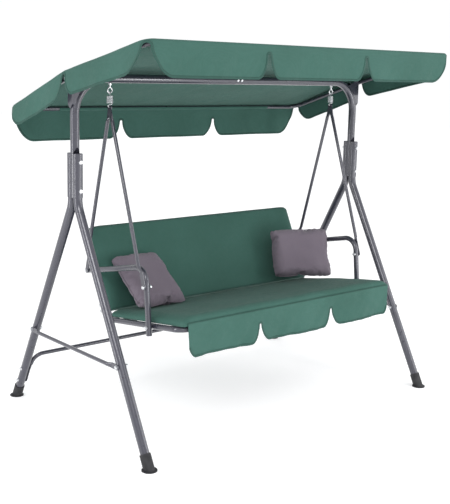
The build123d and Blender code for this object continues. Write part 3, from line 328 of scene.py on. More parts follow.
class Hem:
    """The lower edge of a hanging strip: panels of one drop each, parted by rounded notches.

    notches holds (position, apex depth, half width, corner radius).  A closed
    hem runs round a loop of the given length, and drops holds the drop of the
    panel after each notch.  An open one has its two ends and the radius of
    their corners, and drops starts with the panel before the first notch.
    """

    def __init__(self, notches, drops, length=None, ends=(), corner=None):
        self.length = length
        if length:
            position, *shape = notches[0]
            self.edges = list(notches)
            stops = [*notches, (position + length, *shape)]
        else:
            stops = [(ends[0], END_DEPTH, 0, corner), *notches, (ends[1], END_DEPTH, 0, corner)]
            self.edges = stops
        self.spans = list(zip(stops, stops[1:], drops))

    def depth(self, s):
        """How far the edge hangs below the strip's top at position s."""
        if self.length and s < self.edges[0][0]:
            s += self.length
        for first, last, drop in self.spans:
            if first[0] - 1e-9 <= s <= last[0] + 1e-9:
                value = drop
                for gap, (_, apex, half, radius) in ((s - first[0], first), (last[0] - s, last)):
                    if gap < half:
                        return apex + half - sqrt(max(0.0, half * half - gap * gap))
                    near = (gap - half) / radius
                    if near < 1:
                        floor_depth = apex + half
                        value -= (drop - floor_depth) * (1 - max(0.0, 1 - (1 - near) ** 2) ** BELL_POWER)
                return value
        return self.spans[-1][2]

    def columns(self, first, last, step=0.009):
        """Positions along the strip, close together at the notches."""
        count = round((last - first) / step)
        spots = {round(first + (last - first) * i / count, 6) for i in range(count + 1)}
        for position, _, half, radius in self.edges:
            near = [0.0, half + NEAR_NOTCH] + [half + radius * t for t in FLARE_STEPS]
            if half:
                near += [half * 0.5, half * 0.8, half - NEAR_NOTCH]
            for offset in near:
                for sign in (-1, 1):
                    spot = position + sign * offset
                    if self.length:
                        spot = (spot - first) % self.length + first
                    if first <= spot <= last:
                        spots.add(round(spot, 6))
        ordered = sorted(spots)
        kept = [ordered[0]]
        for spot in ordered[1:]:
            if spot - kept[-1] > CLOSEST_COLUMNS:
                kept.append(spot)
        return kept


def hang(hem, place, columns, lead, rows=14):
    """Rows of points of a strip, from place(s, 0) through the depths in lead and on down to the hem."""
    strip = [[place(s, d) for s in columns] for d in lead]
    for j in range(1, rows + 1):
        strip.append([place(s, lead[-1] + (hem.depth(s) - lead[-1]) * j / rows) for s in columns])
    return strip


TAPE_W = 0.009              # the binding reaches this far up from the hem
TAPE_PROUD = 0.0013         # and stands this far off the cloth's middle
TAPE_SECTION = ((TAPE_W, 0.0), (TAPE_W, 1.0), (TAPE_W * 0.5, 1.15), (0.0, 1.0), (-0.001, 0.0),
                (0.0, -1.0), (TAPE_W * 0.5, -1.15), (TAPE_W, -1.0))
TAPE_SMOOTHING = 3          # columns to either side that share the tape's direction
SLOPE_STEP = 0.002          # for measuring which way the cloth faces


def bind(name, hem, place, columns):
    """Binding tape folded over the hem."""
    closed = bool(hem.length)
    flat = [Vector((s, hem.depth(s), 0)) for s in columns]
    count = len(flat)
    inner = []
    for i in range(count):
        behind, ahead = neighbours(flat, i, closed)
        along = ahead - behind
        if closed and abs(along.x) > hem.length / 2:
            along.x -= hem.length if along.x > 0 else -hem.length
        along.normalize()
        inner.append(Vector((along.y, -along.x, 0)))
    rows = []
    for i, spot in enumerate(flat):
        total = Vector((0, 0, 0))
        for j in range(i - TAPE_SMOOTHING, i + TAPE_SMOOTHING + 1):
            if closed or 0 <= j < count:
                total += inner[j % count]
        inward = total.normalized() if total.length > 1e-6 else inner[i]
        s, d = spot.x, spot.y
        along = place(s + SLOPE_STEP, d) - place(s - SLOPE_STEP, d)
        down = place(s, d + SLOPE_STEP) - place(s, max(0, d - SLOPE_STEP))
        face = along.cross(down).normalized()
        rows.append([place(s + inward.x * reach, max(0.0, d + inward.y * reach)) + face * proud * TAPE_PROUD
                     for reach, proud in TAPE_SECTION])
    piece = grid(name, rows, "binding", round_u=True, round_v=closed, caps=not closed)
    outward(piece)
    return piece


# ---------------------------------------------------------------- canopy cover
CORNER = 0.045                  # plan radius of the cover's four corners
EDGE_ROUND = 0.008              # the roof turns down into its skirt on this radius
ROOF_INSET = 0.001              # from the CAD roof's highest and lowest point
RIDGE_LIFT = 0.031              # the ridge lies this far above the tilt bolts
RIDGE_CROWN = 0.011             # and this much more between the brackets
CROWN_HALF, CROWN_FADE = 0.70, 0.18
ROOF_SAG = 0.010
ROOF_RINGS = 32
SIDE_DROP = 0.112
SKIRT_SCALE = 0.13              # the skirt's waves have their full size this far down
LOOP_GAP = 0.0045               # from the last column round the loop to the first
EDGE_STEPS = [0.0, 0.0025, 0.005, 0.0075, 0.01, 0.01257, 0.016]

# notches: apex depth, half width, corner radius
FRONT_NOTCH = (0.042, 0.007, 0.052)
REAR_NOTCH = (0.070, 0.007, 0.055)
SIDE_NOTCH = (0.020, 0.010, 0.062)
FRONT_CORNER_NOTCH = (0.016, 0.017, 0.105)
REAR_CORNER_NOTCH = (0.016, 0.015, 0.100)
NOTCH_X = 0.290                 # of the front and rear notches, from the middle

roof_low, roof_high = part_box("canopy_roof")
front_y, rear_y = roof_low.y, roof_high.y
front_z, rear_z = roof_high.z - ROOF_INSET, roof_low.z + ROOF_INSET
roof_half = roof_high.x
middle_y = (front_y + rear_y) / 2

half_run = roof_half - CORNER
side_run = rear_y - front_y - 2 * CORNER
arc = CORNER * pi / 2
loop_length = 4 * half_run + 2 * side_run + 4 * arc
loop_runs = (("straight", half_run), ("arc", arc), ("straight", side_run), ("arc", arc),
             ("straight", 2 * half_run), ("arc", arc), ("straight", side_run), ("arc", arc),
             ("straight", half_run))


def box_height(node):
    low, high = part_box(node)
    return high.z - low.z


def roof_z(x, y):
    """Height of the roof: from its ridge down to the front and rear edge, with some sag and creases."""
    spread = min(1.0, abs(x) / roof_half)
    ridge = TILT_AXIS_Z + RIDGE_LIFT + RIDGE_CROWN * (1 - ease((abs(x) - CROWN_HALF) / CROWN_FADE))
    t = min(1.0, y / front_y if y < 0 else y / rear_y)
    edge = front_z if y < 0 else rear_z
    sag = ROOF_SAG * sin(pi * t) * (1 - spread ** 4)
    crease = 0.0016 * ripple(x * 5, y * 7, 2.0) + 0.0012 * ripple(x * 17 + y * 9, y * 5, 7.0)
    return ridge + (edge - ridge) * t - (sag - crease * 1.5) * min(1.0, 6 * (1 - t))


def loop_spot(s):
    """Plan position and outward direction, s metres round the cover from the front's middle."""
    x, y, heading = 0.0, front_y, 0.0
    s = s % loop_length
    for kind, length in loop_runs:
        step = min(s, length)
        if kind == "straight":
            x, y = x + step * cos(heading), y + step * sin(heading)
        else:
            cx, cy = x - CORNER * sin(heading), y + CORNER * cos(heading)
            heading += step / CORNER
            x, y = cx + CORNER * sin(heading), cy - CORNER * cos(heading)
        s -= step
        if s <= 1e-9:
            break
    return x, y, Vector((sin(heading), -cos(heading), 0))


def cover_point(s, d):
    """The cover's cloth s metres round the loop and d metres down from where the roof starts to turn over."""
    x, y, out = loop_spot(s)
    top = roof_z(x, y)
    quarter = EDGE_ROUND * pi / 2
    if d < quarter:
        angle = d / EDGE_ROUND
        reach = EDGE_ROUND * (sin(angle) - 1)
        fall = EDGE_ROUND * (1 - cos(angle))
        return Vector((x, y, top - fall)) + out * reach
    fall = EDGE_ROUND + d - quarter
    swing = (d - quarter) / SKIRT_SCALE
    wave = (0.005 * sin(2 * pi * s / 0.31 + 1.1) + 0.005 * ripple(s * 9, 3.0)
            + 0.004 * ripple(s * 24 + d * 12, d * 10))
    flare = 0.006 * swing * swing + wave * swing + 0.003 * sin(pi * min(1.0, swing))
    return Vector((x, y, top - fall)) + out * (flare + SHEET_T)


front_right = half_run + arc / 2
rear_right = front_right + arc + side_run
rear_left = rear_right + arc + 2 * half_run
front_left = rear_left + arc + side_run
side_pivot = half_run + arc - front_y - CORNER  # beside the tilt axis
rear_middle = loop_length / 2
front_drop, rear_drop = box_height("canopy_valance_front"), box_height("canopy_valance_rear")
cover_hem = Hem(
    notches=[(NOTCH_X, *FRONT_NOTCH), (front_right, *FRONT_CORNER_NOTCH),
             (side_pivot, *SIDE_NOTCH), (rear_right, *REAR_CORNER_NOTCH),
             (rear_middle - NOTCH_X, *REAR_NOTCH), (rear_middle + NOTCH_X, *REAR_NOTCH),
             (rear_left, *REAR_CORNER_NOTCH), (loop_length - side_pivot, *SIDE_NOTCH),
             (front_left, *FRONT_CORNER_NOTCH), (loop_length - NOTCH_X, *FRONT_NOTCH)],
    drops=[front_drop, SIDE_DROP, SIDE_DROP, rear_drop, rear_drop, rear_drop, SIDE_DROP, SIDE_DROP,
           front_drop, front_drop],
    length=loop_length)
cover_columns = cover_hem.columns(0.0, loop_length - LOOP_GAP)

roof_rows = []
for k in range(1, ROOF_RINGS):
    share = (k / ROOF_RINGS) ** 0.8
    row = []
    for s in cover_columns:
        x, y, out = loop_spot(s)
        edge = Vector((x, y, 0)) - out * EDGE_ROUND
        px, py = edge.x * share, middle_y + (edge.y - middle_y) * share
        row.append(Vector((px, py, roof_z(px, py))))
    roof_rows.append(row)
skirt_rows = hang(cover_hem, cover_point, cover_columns, EDGE_STEPS)
cover = grid("canopy_cover", roof_rows + skirt_rows, "canopy_fabric", round_u=True)

# close the middle of the roof with a fan of faces
work = bmesh.new()
work.from_mesh(cover.data)
hub = work.verts.new(Vector((0, middle_y, roof_z(0, middle_y))))
work.verts.ensure_lookup_table()
ring = work.verts[:len(cover_columns)]
for i, corner in enumerate(ring):
    work.faces.new((hub, ring[(i + 1) % len(ring)], corner))
bmesh.ops.recalc_face_normals(work, faces=work.faces)
work.to_mesh(cover.data)
work.free()
cover.data.shade_smooth()
thicken(cover)
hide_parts("canopy_roof", "canopy_valance_front", "canopy_valance_rear", "canopy_valance_left",
            "canopy_valance_right")
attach(cover, "canopy")
binding = bind("canopy_binding", cover_hem, cover_point, cover_columns)
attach(binding, "canopy")

# sewn pockets, open upwards, that hold the front and rear bar against the roof
POCKET_R = 0.0101
POCKET_T = 0.0008
POCKET_HALF = 0.648
POCKET_START, POCKET_TURN = 28, 236  # degrees round the bar
POCKET_SPANS, POCKET_STEPS = 108, 24
for end_name in ("front", "rear"):
    low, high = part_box(f"canopy_{end_name}_bar")
    axis_y, axis_z = (low.y + high.y) / 2, (low.z + high.z) / 2
    rows = []
    for i in range(POCKET_SPANS + 1):
        x = -POCKET_HALF + 2 * POCKET_HALF * i / POCKET_SPANS
        row = []
        for k in range(POCKET_STEPS + 1):
            angle = radians(POCKET_START - POCKET_TURN * k / POCKET_STEPS)
            loose = POCKET_R + (0.0005 + 0.0004 * ripple(x * 30, k * 0.4)) * max(0.0, -sin(angle))
            row.append(Vector((x, axis_y + loose * cos(angle), axis_z + loose * sin(angle))))
        rows.append(row)
    pocket = grid(f"bar_pocket_{end_name}", rows, "canopy_fabric")
    thicken(pocket, POCKET_T)
    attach(pocket, "canopy")

# ---------------------------------------------------------------- seat and back slings
SLING_HALF = 0.56
SLING_T = 0.0014
SLING_OFF = 0.0011              # from a bar's surface to the middle of the cloth
SLING_SAG = 0.0008
SLING_WRAP = 190                # degrees round each bar
SLING_WRAP_STEPS, SLING_STEPS, SLING_SPANS = 12, 24, 90


def sling_wrap(bar, start):
    """The cloth's line round one bar, given as (run, radius), from start degrees on."""
    run, radius = bar[0], bar[1] + SLING_OFF
    turns = [radians(start - SLING_WRAP * k / SLING_WRAP_STEPS) for k in range(SLING_WRAP_STEPS + 1)]
    return [(run + radius * cos(angle), radius * sin(angle)) for angle in turns]


def sling(name, point, first, last):
    """Mesh cloth stretched from one bar to another, and lapped round both."""
    line = sling_wrap(first, -80)
    for k in range(1, SLING_STEPS):
        t = k / SLING_STEPS
        lift = (first[1] + SLING_OFF) * (1 - t) + (last[1] + SLING_OFF) * t
        line.append((first[0] + (last[0] - first[0]) * t, lift - SLING_SAG * sin(pi * t)))
    line += sling_wrap(last, 90)
    rows = [[point(-SLING_HALF + 2 * SLING_HALF * i / SLING_SPANS, run, lift) for run, lift in line]
            for i in range(SLING_SPANS + 1)]
    piece = grid(f"{name}_sling_cloth", rows, "sling_fabric")
    thicken(piece, SLING_T)
    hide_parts(f"{name}_sling")
    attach(piece, "seat")


sling("seat", seat_point, (0.114, 0.0095), (0.560, 0.0125))
sling("back", back_point, (0.128, 0.0095), (0.395, 0.0125))

# ---------------------------------------------------------------- padded pieces
AIR_FRAMES = 20
PAD_BASE = 0.0153               # underside of both cushions, above the seat and back planes
CUSHION_INSET = 0.001           # at each end, from the CAD cushion's box


def puff(piece, pressure, cap, stiffness):
    """Fill a closed cloth form with air, then keep the shape it takes; no point moves further than cap."""
    before = [vertex.co.copy() for vertex in piece.data.vertices]
    made = piece.modifiers.new("air", "CLOTH")
    made.settings.use_pressure = True
    made.settings.uniform_pressure_force = pressure
    made.settings.effector_weights.gravity = 0.0
    made.settings.quality = 6
    made.settings.mass = 0.3
    made.settings.tension_stiffness = stiffness
    made.settings.compression_stiffness = stiffness
    made.settings.shear_stiffness = stiffness * 0.4
    made.settings.bending_stiffness = 0.05
    made.collision_settings.use_collision = False
    made.collision_settings.use_self_collision = False
    made.point_cache.frame_start = 1
    made.point_cache.frame_end = AIR_FRAMES
    for frame_number in range(1, AIR_FRAMES + 1):
        scene.frame_set(frame_number)
    shaped = piece.evaluated_get(bpy.context.evaluated_depsgraph_get())
    after = [vertex.co.copy() for vertex in shaped.data.vertices]
    piece.modifiers.remove(made)
    for vertex, old, new in zip(piece.data.vertices, before, after):
        move = new - old
        if move.length > cap:
            move = move.normalized() * cap
        vertex.co = old + move
    scene.frame_set(1)


def slab(name, node, profile, half, place):
    """A closed pad: profile(x) gives its outline across at each station along X."""
    rows = [[place(x, run, lift) for run, lift in profile(x)] for x in stations(half)]
    piece = grid(name, rows, "cushion_fabric", round_u=True, caps=True)
    outward(piece)
    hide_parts(node)
    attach(piece, "seat")
    return piece


def stations(half, edge=0.06, inner_step=0.013, outer_steps=8):
    """Places across a cushion, close together at its two ends."""
    spots = [-half + edge * (1 - cos(pi / 2 * k / outer_steps)) for k in range(outer_steps + 1)]
    count = max(2, round(2 * (half - edge) / inner_step))
    spots += [-half + edge + 2 * (half - edge) * k / count for k in range(1, count)]
    spots += [-spot for spot in reversed(spots[:outer_steps + 1])]
    return spots


def fullness(x, half, end):
    """1 along a cushion, falling to 0 over the length end at each of its two ends."""
    edge = min(1.0, (half - abs(x)) / end)
    return sqrt(max(0.0, 1 - (1 - edge) ** 2.2))


def seam(name, points, radius, material="binding", body="seat", closed=False):
    piece = wire(name, points, radius, material, sides=8, closed=closed)
    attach(piece, body)


# seat cushion: flat underneath, a soft crown, and a rounded front
SEAT_REAR, SEAT_FRONT = 0.034, 0.588
SEAT_STEPS = 44
SEAT_NOSE = 0.032               # the front rounding starts this far from the front
NOSE_REACH, NOSE_R, NOSE_STEPS = 0.0315, 0.028, 8
SEAT_LOW, SEAT_RISE = 0.0435, 0.0175  # height of its top at the rear, and what it gains by the front
SEAT_REAR_R = 0.010
SEAT_END_RUN, SEAT_END_THIN, SEAT_END_PULL = 0.075, 0.34, 0.006
SEAT_CROWN = 0.0035
SEAT_SETTLE = 0.003             # how far the top lies lower to leave room for crown and folds
FACE_STEPS, SEAT_UNDER_STEPS = 4, 26
UNDER_INSET = 0.004
seat_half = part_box("seat_cushion")[1].x - CUSHION_INSET
seat_runs = [SEAT_REAR + (SEAT_FRONT - SEAT_NOSE - SEAT_REAR) * k / SEAT_STEPS for k in range(SEAT_STEPS + 1)]


def seat_profile(x):
    full = fullness(x, seat_half, SEAT_END_RUN)
    thin = at_least(SEAT_END_THIN, full)
    shrink = SEAT_END_PULL * (1 - full)
    points = []
    for run in seat_runs:
        t = (run - SEAT_REAR) / (SEAT_FRONT - SEAT_REAR)
        height = (SEAT_LOW + SEAT_RISE * t - PAD_BASE) * thin
        soft = SEAT_CROWN * sin(pi * t) * at_least(0.4, full)
        rear = quarter_round(run - SEAT_REAR, SEAT_REAR_R)
        fold = 0.0024 * ripple(x * 5.5, run * 8) + 0.0018 * ripple(x * 13 + run * 9, run * 10, 4.0)
        pull = -0.0022 * max(0.0, ripple(x * 2.2, run * 3.0, 9.0))
        lift = PAD_BASE + height * at_least(0.35, rear) + soft + (fold + pull) * full - SEAT_SETTLE
        points.append((run + shrink, lift))
    top = points[-1][1]
    radius = min(NOSE_R, (top - PAD_BASE) * 0.62)
    nose = 0.0015 * ripple(x * 12, 5.0)
    for k in range(1, NOSE_STEPS + 1):
        angle = pi / 2 * k / NOSE_STEPS
        points.append((seat_runs[-1] + NOSE_REACH * sin(angle) * at_least(0.9, full) + nose,
                       top - radius * (1 - cos(angle))))
    front, under_nose = points[-1]
    for k in range(1, FACE_STEPS + 1):
        points.append((front - 0.0012 * k / FACE_STEPS,
                       under_nose + (PAD_BASE + 0.002 - under_nose) * k / FACE_STEPS))
    for k in range(1, SEAT_UNDER_STEPS):
        t = k / SEAT_UNDER_STEPS
        points.append((front - UNDER_INSET + (SEAT_REAR + shrink + UNDER_INSET - front) * t, PAD_BASE))
    return points


seat_pad = slab("seat_pad", "seat_cushion", seat_profile, seat_half, seat_point)

# back cushion: a pad in front and a hood over the top bar
BACK_START, BACK_TOP = 0.028, 0.4235
BACK_STEPS = 45
BACK_DEPTH = 0.040
BACK_FOOT_R = 0.009
BACK_END_RUN, BACK_END_THIN = 0.07, 0.30
BACK_CROWN = 0.0065
BACK_SETTLE = 0.004             # how far its face lies lower to leave room for crown and folds
HOOD_R = 0.018                  # of the fold over the top
HOOD_BACK = 0.0165              # outside of the flap, behind the back plane
HOOD_FOLD_STEPS = 10
FLAP_END = 0.2925
FLAP_INSIDE = 0.0155            # inside of the flap, behind the back plane
FLAP_STEPS, FLAP_INSIDE_STEPS = 14, 12
HOOD_INNER = 0.4105             # where the hood's inside turns over the bar
INNER_R = 0.006
INNER_STEPS, BACK_UNDER_STEPS = 7, 19
back_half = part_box("back_cushion")[1].x - CUSHION_INSET


def back_profile(x):
    full = fullness(x, back_half, BACK_END_RUN)
    thin = at_least(BACK_END_THIN, full)
    top = HOOD_INNER + 0.002 + (BACK_TOP - HOOD_INNER - 0.002) * thin
    depth = BACK_DEPTH * thin
    points = []
    for k in range(BACK_STEPS + 1):
        t = (k / BACK_STEPS) ** 1.25
        run = BACK_START + (top - HOOD_R - BACK_START) * t
        crown = BACK_CROWN * sin(pi * min(1.0, t * 1.02)) * full
        foot = quarter_round(run - BACK_START, BACK_FOOT_R)
        fold = 0.0028 * ripple(x * 4.5, run * 7, 3.0) + 0.0018 * ripple(x * 12 - run * 9, run * 8, 6.0)
        drag = 0.003 * max(0.0, ripple(x * 3.0 + run * 5, run * 2.0, 8.0)) * (1 - t)
        lift = PAD_BASE + depth * at_least(0.3, foot) - BACK_SETTLE + crown + (fold - drag) * full
        points.append((run, lift))
    front = points[-1][1]
    middle, half = (front - HOOD_BACK) / 2, (front + HOOD_BACK) / 2
    for k in range(1, HOOD_FOLD_STEPS + 1):
        angle = pi * k / HOOD_FOLD_STEPS
        points.append((top - HOOD_R + HOOD_R * sin(angle) ** 0.8, middle + half * cos(angle)))
    for k in range(1, FLAP_STEPS + 1):
        t = k / FLAP_STEPS
        points.append((top - HOOD_R + (FLAP_END - top + HOOD_R) * t, -0.0168 - 0.0006 * sin(pi * t)))
    points.append((FLAP_END - 0.0006, -0.0162))
    inner_top = HOOD_INNER - INNER_R
    for k in range(1, FLAP_INSIDE_STEPS + 1):
        points.append((FLAP_END + (inner_top - FLAP_END) * (k / FLAP_INSIDE_STEPS), -FLAP_INSIDE))
    for k in range(1, INNER_STEPS + 1):
        t = k / INNER_STEPS
        points.append((inner_top + INNER_R * sin(pi * t), -FLAP_INSIDE + (PAD_BASE + FLAP_INSIDE) * t))
    for k in range(1, BACK_UNDER_STEPS + 1):
        points.append((inner_top + (BACK_START + 0.003 - inner_top) * (k / BACK_UNDER_STEPS), PAD_BASE))
    return points


back_pad = slab("back_pad", "back_cushion", back_profile, back_half, back_point)

BACK_SEAM_R, FRONT_SEAM_R, PILLOW_SEAM_R = 0.0013, 0.0021, 0.0016
SEAM_SPANS = 160
SEAM_INSET = 0.004
SEAM_ROW = BACK_STEPS + 3       # the profile's point that the seam follows, on the fold over the top
back_line = []
for k in range(SEAM_SPANS + 1):
    x = -back_half + SEAM_INSET + 2 * (back_half - SEAM_INSET) * k / SEAM_SPANS
    run, lift = back_profile(x)[SEAM_ROW]
    back_line.append(back_point(x, run + 0.0006, lift + 0.0006))
seam("back_seam", back_line, BACK_SEAM_R)

# the strip that hangs from the seat's front edge
VALANCE_DROP = 0.140
VALANCE_NOTCH_X = 0.222
VALANCE_NOTCH = (0.060, 0.006, 0.052)
VALANCE_CORNER = 0.03
VALANCE_STEPS = [0.0, 0.004, 0.01]
hem_low, hem_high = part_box("seat_valance")
valance_half = hem_high.x
valance_hem = Hem([(-VALANCE_NOTCH_X, *VALANCE_NOTCH), (VALANCE_NOTCH_X, *VALANCE_NOTCH)],
                  [VALANCE_DROP] * 3, ends=(-valance_half, valance_half), corner=VALANCE_CORNER)


def valance_point(s, d):
    """The strip's cloth at s across the seat and d down; waves and folds grow towards its hem."""
    swing = d / VALANCE_DROP
    wave = (0.007 * sin(2 * pi * s / 0.34 + 0.6) + 0.008 * ripple(s * 8, 9.0)
            + 0.008 * ripple(s * 20 + d * 16, d * 9, 4.0))
    tuck = 0.006 * max(0.0, ripple(s * 15 - d * 20, 6.0)) * sin(pi * min(1.0, swing))
    flare = 0.010 * swing * swing + wave * swing - tuck
    return Vector((s, hem_low.y + SHEET_T - flare, hem_high.z - d))


valance_columns = valance_hem.columns(-valance_half, valance_half)
valance = grid("seat_valance_cloth", hang(valance_hem, valance_point, valance_columns, VALANCE_STEPS),
               "cushion_fabric")
thicken(valance)
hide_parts("seat_valance")
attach(valance, "seat")
valance_binding = bind("seat_valance_binding", valance_hem, valance_point, valance_columns)
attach(valance_binding, "seat")
front_line = [Vector((-valance_half + 2 * valance_half * k / SEAM_SPANS, hem_low.y + 0.0008,
                      hem_high.z + 0.0006 * ripple(k * 0.3, 2.0))) for k in range(SEAM_SPANS + 1)]
seam("seat_front_seam", front_line, FRONT_SEAM_R)

# loose pillows
PILLOW_LONG, PILLOW_SHORT, PILLOW_T = 0.325, 0.270, 0.084
CELLS = 58                      # along each side of a pillow
BELLY = 0.03                    # how far the sides bow out between the corners
CORNER_PULL = 0.045
START_T = 0.42                  # thickness before the air goes in, as a share of the finished one
GATHER_START = 0.70             # creases run from here to the seam
GATHER_RUN = 0.30
FLATTEN, FLATTEN_REACH = 1.6, 0.80  # how soon the swelling levels off, and where
SIDE_PULL, GATHER_DEPTH = 0.022, 0.6


def pillow_form(name, wide, tall, seed):
    """A thin closed form on CELLS by CELLS cells each side; also each point's (u, v, side) and its number."""
    index, points, spots, faces = {}, [], [], []
    for side in (1, -1):
        for j in range(CELLS + 1):
            for i in range(CELLS + 1):
                u, v = 2 * i / CELLS - 1, 2 * j / CELLS - 1
                rim = i in (0, CELLS) or j in (0, CELLS)
                if rim and side == -1:
                    index[side, i, j] = index[1, i, j]
                    continue
                belly = 1 + BELLY * (1 - abs(u) ** 2) * abs(v) ** 5 + BELLY * (1 - abs(v) ** 2) * abs(u) ** 5
                round_corner = 1 - CORNER_PULL * (abs(u) * abs(v)) ** 7
                x = u * wide / 2 * belly * round_corner
                y = v * tall / 2 * belly * round_corner
                if rim:
                    z = 0.0018 * ripple(i * 0.9 + seed, j * 0.9)
                else:
                    bulge = (1 - abs(u) ** 2.6) * (1 - abs(v) ** 2.6)
                    z = side * (0.0009 + START_T * PILLOW_T / 2 * bulge ** 0.55)
                    z += 0.0012 * ripple(u * 9 + seed, v * 9, side)
                index[side, i, j] = len(points)
                points.append(Vector((x, y, z)))
                spots.append((u, v, side))
    for side in (1, -1):
        for j in range(CELLS):
            for i in range(CELLS):
                quad = [index[side, i, j], index[side, i + 1, j], index[side, i + 1, j + 1],
                        index[side, i, j + 1]]
                faces.append(quad if side == 1 else quad[::-1])
    return make_mesh(name, points, faces, "pillow_fabric"), spots, index


def pillow(name, node, wide, tall, turn, lean, seed):
    """A filled pillow at its CAD node's place, turned about Z and leaning back from upright."""
    low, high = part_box(node)
    centre = (low + high) / 2
    across = Vector((cos(turn), sin(turn), 0))
    back = Vector((-sin(turn), cos(turn), 0))
    up = back * sin(lean) + Vector((0, 0, cos(lean)))
    face = across.cross(up)
    piece, spots, index = pillow_form(name, wide, tall, seed)
    puff(piece, pressure=3.6, cap=0.030, stiffness=18.0)
    half = PILLOW_T / 2
    limit = half * 0.98
    for vertex, (u, v, side) in zip(piece.data.vertices, spots):
        x, y, z = vertex.co
        along = y + 3 * wide if abs(u) > abs(v) else x
        near = max(0.0, (max(abs(u), abs(v)) - GATHER_START) / GATHER_RUN)
        gather = ripple(along * 85 + seed, (u - v) * 2, side * 0.6)
        pull = 1 + SIDE_PULL * near * near * (ripple(along * 60, seed, 2.0) - 0.3)
        x = max(-wide / 2, min(wide / 2, x * pull))
        y = max(-tall / 2, min(tall / 2, y * pull))
        z *= 1 - GATHER_DEPTH * near * max(0.0, gather)
        z = limit * (1 - exp(-abs(z) / limit * FLATTEN)) / FLATTEN_REACH * (1 if z >= 0 else -1)
        z = max(-limit, min(limit, z))
        crease = 0.0016 * ripple(x * 26 + seed, y * 26, 5.0) + 0.0022 * ripple(x * 11, y * 11 + seed, 8.0)
        z += crease * min(1.0, abs(z) / half)
        vertex.co = centre + across * x + up * y + face * z
    smooth = piece.modifiers.new("fine", "SUBSURF")
    smooth.levels = smooth.render_levels = 1
    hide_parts(node)
    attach(piece, node)
    rim = [index[1, i, 0] for i in range(CELLS)] + [index[1, CELLS, j] for j in range(CELLS)]
    rim += [index[1, i, CELLS] for i in range(CELLS, 0, -1)] + [index[1, 0, j] for j in range(CELLS, 0, -1)]
    seam(name + "_seam", [piece.data.vertices[k].co.copy() for k in rim], PILLOW_SEAM_R,
         material="pillow_fabric", body=node, closed=True)


pillow("pillow_left_cover", "pillow_left", PILLOW_SHORT, PILLOW_LONG, 0.0, radians(54), 3.0)
pillow("pillow_right_cover", "pillow_right", PILLOW_LONG, PILLOW_SHORT, radians(-25), radians(24), 11.0)

# ---------------------------------------------------------------- hanging springs
COIL_R, COIL_WIRE, TURNS, PITCH = 0.012, 0.0018, 8, 0.0038
HOOK_R, HOOK_REACH = 0.008, 0.0095
TURN_STEPS, HOOK_STEPS, LINK_STEPS = 24, 16, 9
LINK_BOW = Vector((0.002, 0.006, 0))  # of the wire between the upper hook and the coil


def spring_path(x, top, bottom):
    """From the upper hook's tip down through the coil to the lower hook's tip."""
    path = []
    for k in range(HOOK_STEPS + 1):
        angle = radians(-90 + 180 * k / HOOK_STEPS)
        path.append(Vector((x, HOOK_R * sin(angle), top + HOOK_REACH + HOOK_R * cos(angle))))
    start, end = Vector((x, HOOK_R, top + HOOK_REACH)), Vector((x + COIL_R, 0, top))
    for k in range(1, LINK_STEPS):
        t = k / LINK_STEPS
        path.append(start.lerp(end, t) + LINK_BOW * sin(pi * t))
    for k in range(TURNS * TURN_STEPS + 1):
        angle = 2 * pi * k / TURN_STEPS
        path.append(Vector((x + COIL_R * cos(angle), -COIL_R * sin(angle), top - PITCH * k / TURN_STEPS)))
    for k in range(1, LINK_STEPS + 1):
        t = k / LINK_STEPS
        angle = radians(-180 * t)
        reach = COIL_R + (HOOK_R - COIL_R) * t
        path.append(Vector((x + reach * cos(angle), reach * sin(angle) * (1 - 0.5 * t),
                            bottom - HOOK_REACH * t)))
    for k in range(1, HOOK_STEPS + 1):
        angle = radians(180 + 180 * k / HOOK_STEPS)
        path.append(Vector((x + HOOK_R * cos(angle), 0, bottom - HOOK_REACH + HOOK_R * sin(angle))))
    return path


for side_name in ("left", "right"):
    node = f"spring_{side_name}"
    low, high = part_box(node)
    hang_x = (low.x + high.x) / 2
    coil_top = high.z - COIL_WIRE - HOOK_R - HOOK_REACH
    coil_bottom = coil_top - TURNS * PITCH
    spring = wire(f"spring_coil_{side_name}", spring_path(hang_x, coil_top, coil_bottom), COIL_WIRE,
                  "zinc")
    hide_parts(node)
    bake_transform(spring)

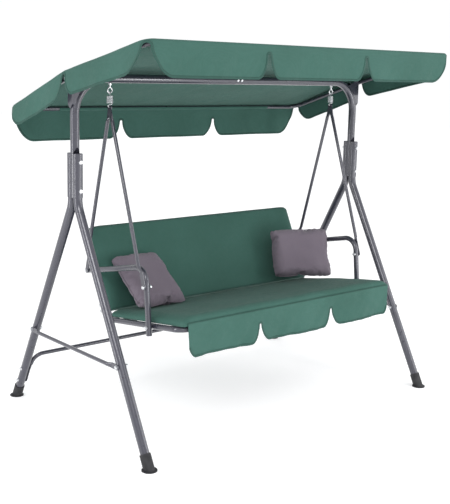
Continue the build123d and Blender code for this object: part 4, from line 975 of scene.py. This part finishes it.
# ---------------------------------------------------------------- floor, light, camera
bpy.ops.mesh.primitive_plane_add(size=40, location=(0, 4, 0))
floor = bpy.context.object
floor.name = "floor"
ground = Shader("floor_paint", Roughness=0.9, Specular_IOR_Level=0.1, Emission_Color=(1, 1, 1, 1),
                Emission_Strength=0.22)
ground_tone = ground.ramp(ground.noise(0.6), [(0.3, (0.93, 0.93, 0.935)), (0.7, (0.95, 0.95, 0.952))])
floor.data.materials.append(ground.finish(ground_tone))

world = bpy.data.worlds.new("studio")
scene.world = world
world.use_nodes = True
world.node_tree.nodes["Background"].inputs["Color"].default_value = (0.985, 0.99, 1.0, 1)
world.node_tree.nodes["Background"].inputs["Strength"].default_value = 1.02


def area_light(name, spot, target, size, power):
    data = bpy.data.lights.new(name, "AREA")
    data.shape = "RECTANGLE"
    data.size, data.size_y = size
    data.energy = power
    lamp = bpy.data.objects.new(name, data)
    lamp.location = spot
    lamp.rotation_euler = (Vector(target) - Vector(spot)).to_track_quat("-Z", "Y").to_euler()
    scene.collection.objects.link(lamp)


area_light("key", (-3.6, -3.4, 3.6), (0, 0, 0.9), (2.4, 1.6), 90)
area_light("fill", (3.8, -3.0, 1.8), (0.2, 0, 0.8), (2.0, 2.4), 22)
area_light("under", (0.2, -2.6, 0.5), (0, 0.2, 1.4), (3.0, 0.8), 12)
area_light("strip_left", (-3.3, 0.5, 1.2), (0, 0, 1.0), (0.4, 2.4), 26)
area_light("strip_right", (1.7, -3.0, 1.2), (0, 0, 1.0), (0.4, 2.4), 26)

YAW, DIP, ROLL = radians(40.66), radians(-11.0), radians(1.43)
forward = Vector((sin(YAW) * cos(DIP), cos(YAW) * cos(DIP), sin(DIP)))
level = Vector((cos(YAW), -sin(YAW), 0))
upright = level.cross(forward)
camera_right = level * cos(ROLL) + upright * sin(ROLL)
camera_up = upright * cos(ROLL) - level * sin(ROLL)
camera_data = bpy.data.cameras.new("camera")
camera_data.sensor_fit = "AUTO"
camera_data.sensor_width = 36
camera_data.lens = 66.55
camera_data.clip_end = 100
camera = bpy.data.objects.new("camera", camera_data)
scene.collection.objects.link(camera)
camera_place = Matrix((camera_right, camera_up, -forward)).transposed().to_4x4()
camera_place.translation = Vector((-2.8633, -3.3181, 1.5477))
camera.matrix_world = camera_place
scene.camera = camera
scene.view_settings.view_transform = "Standard"
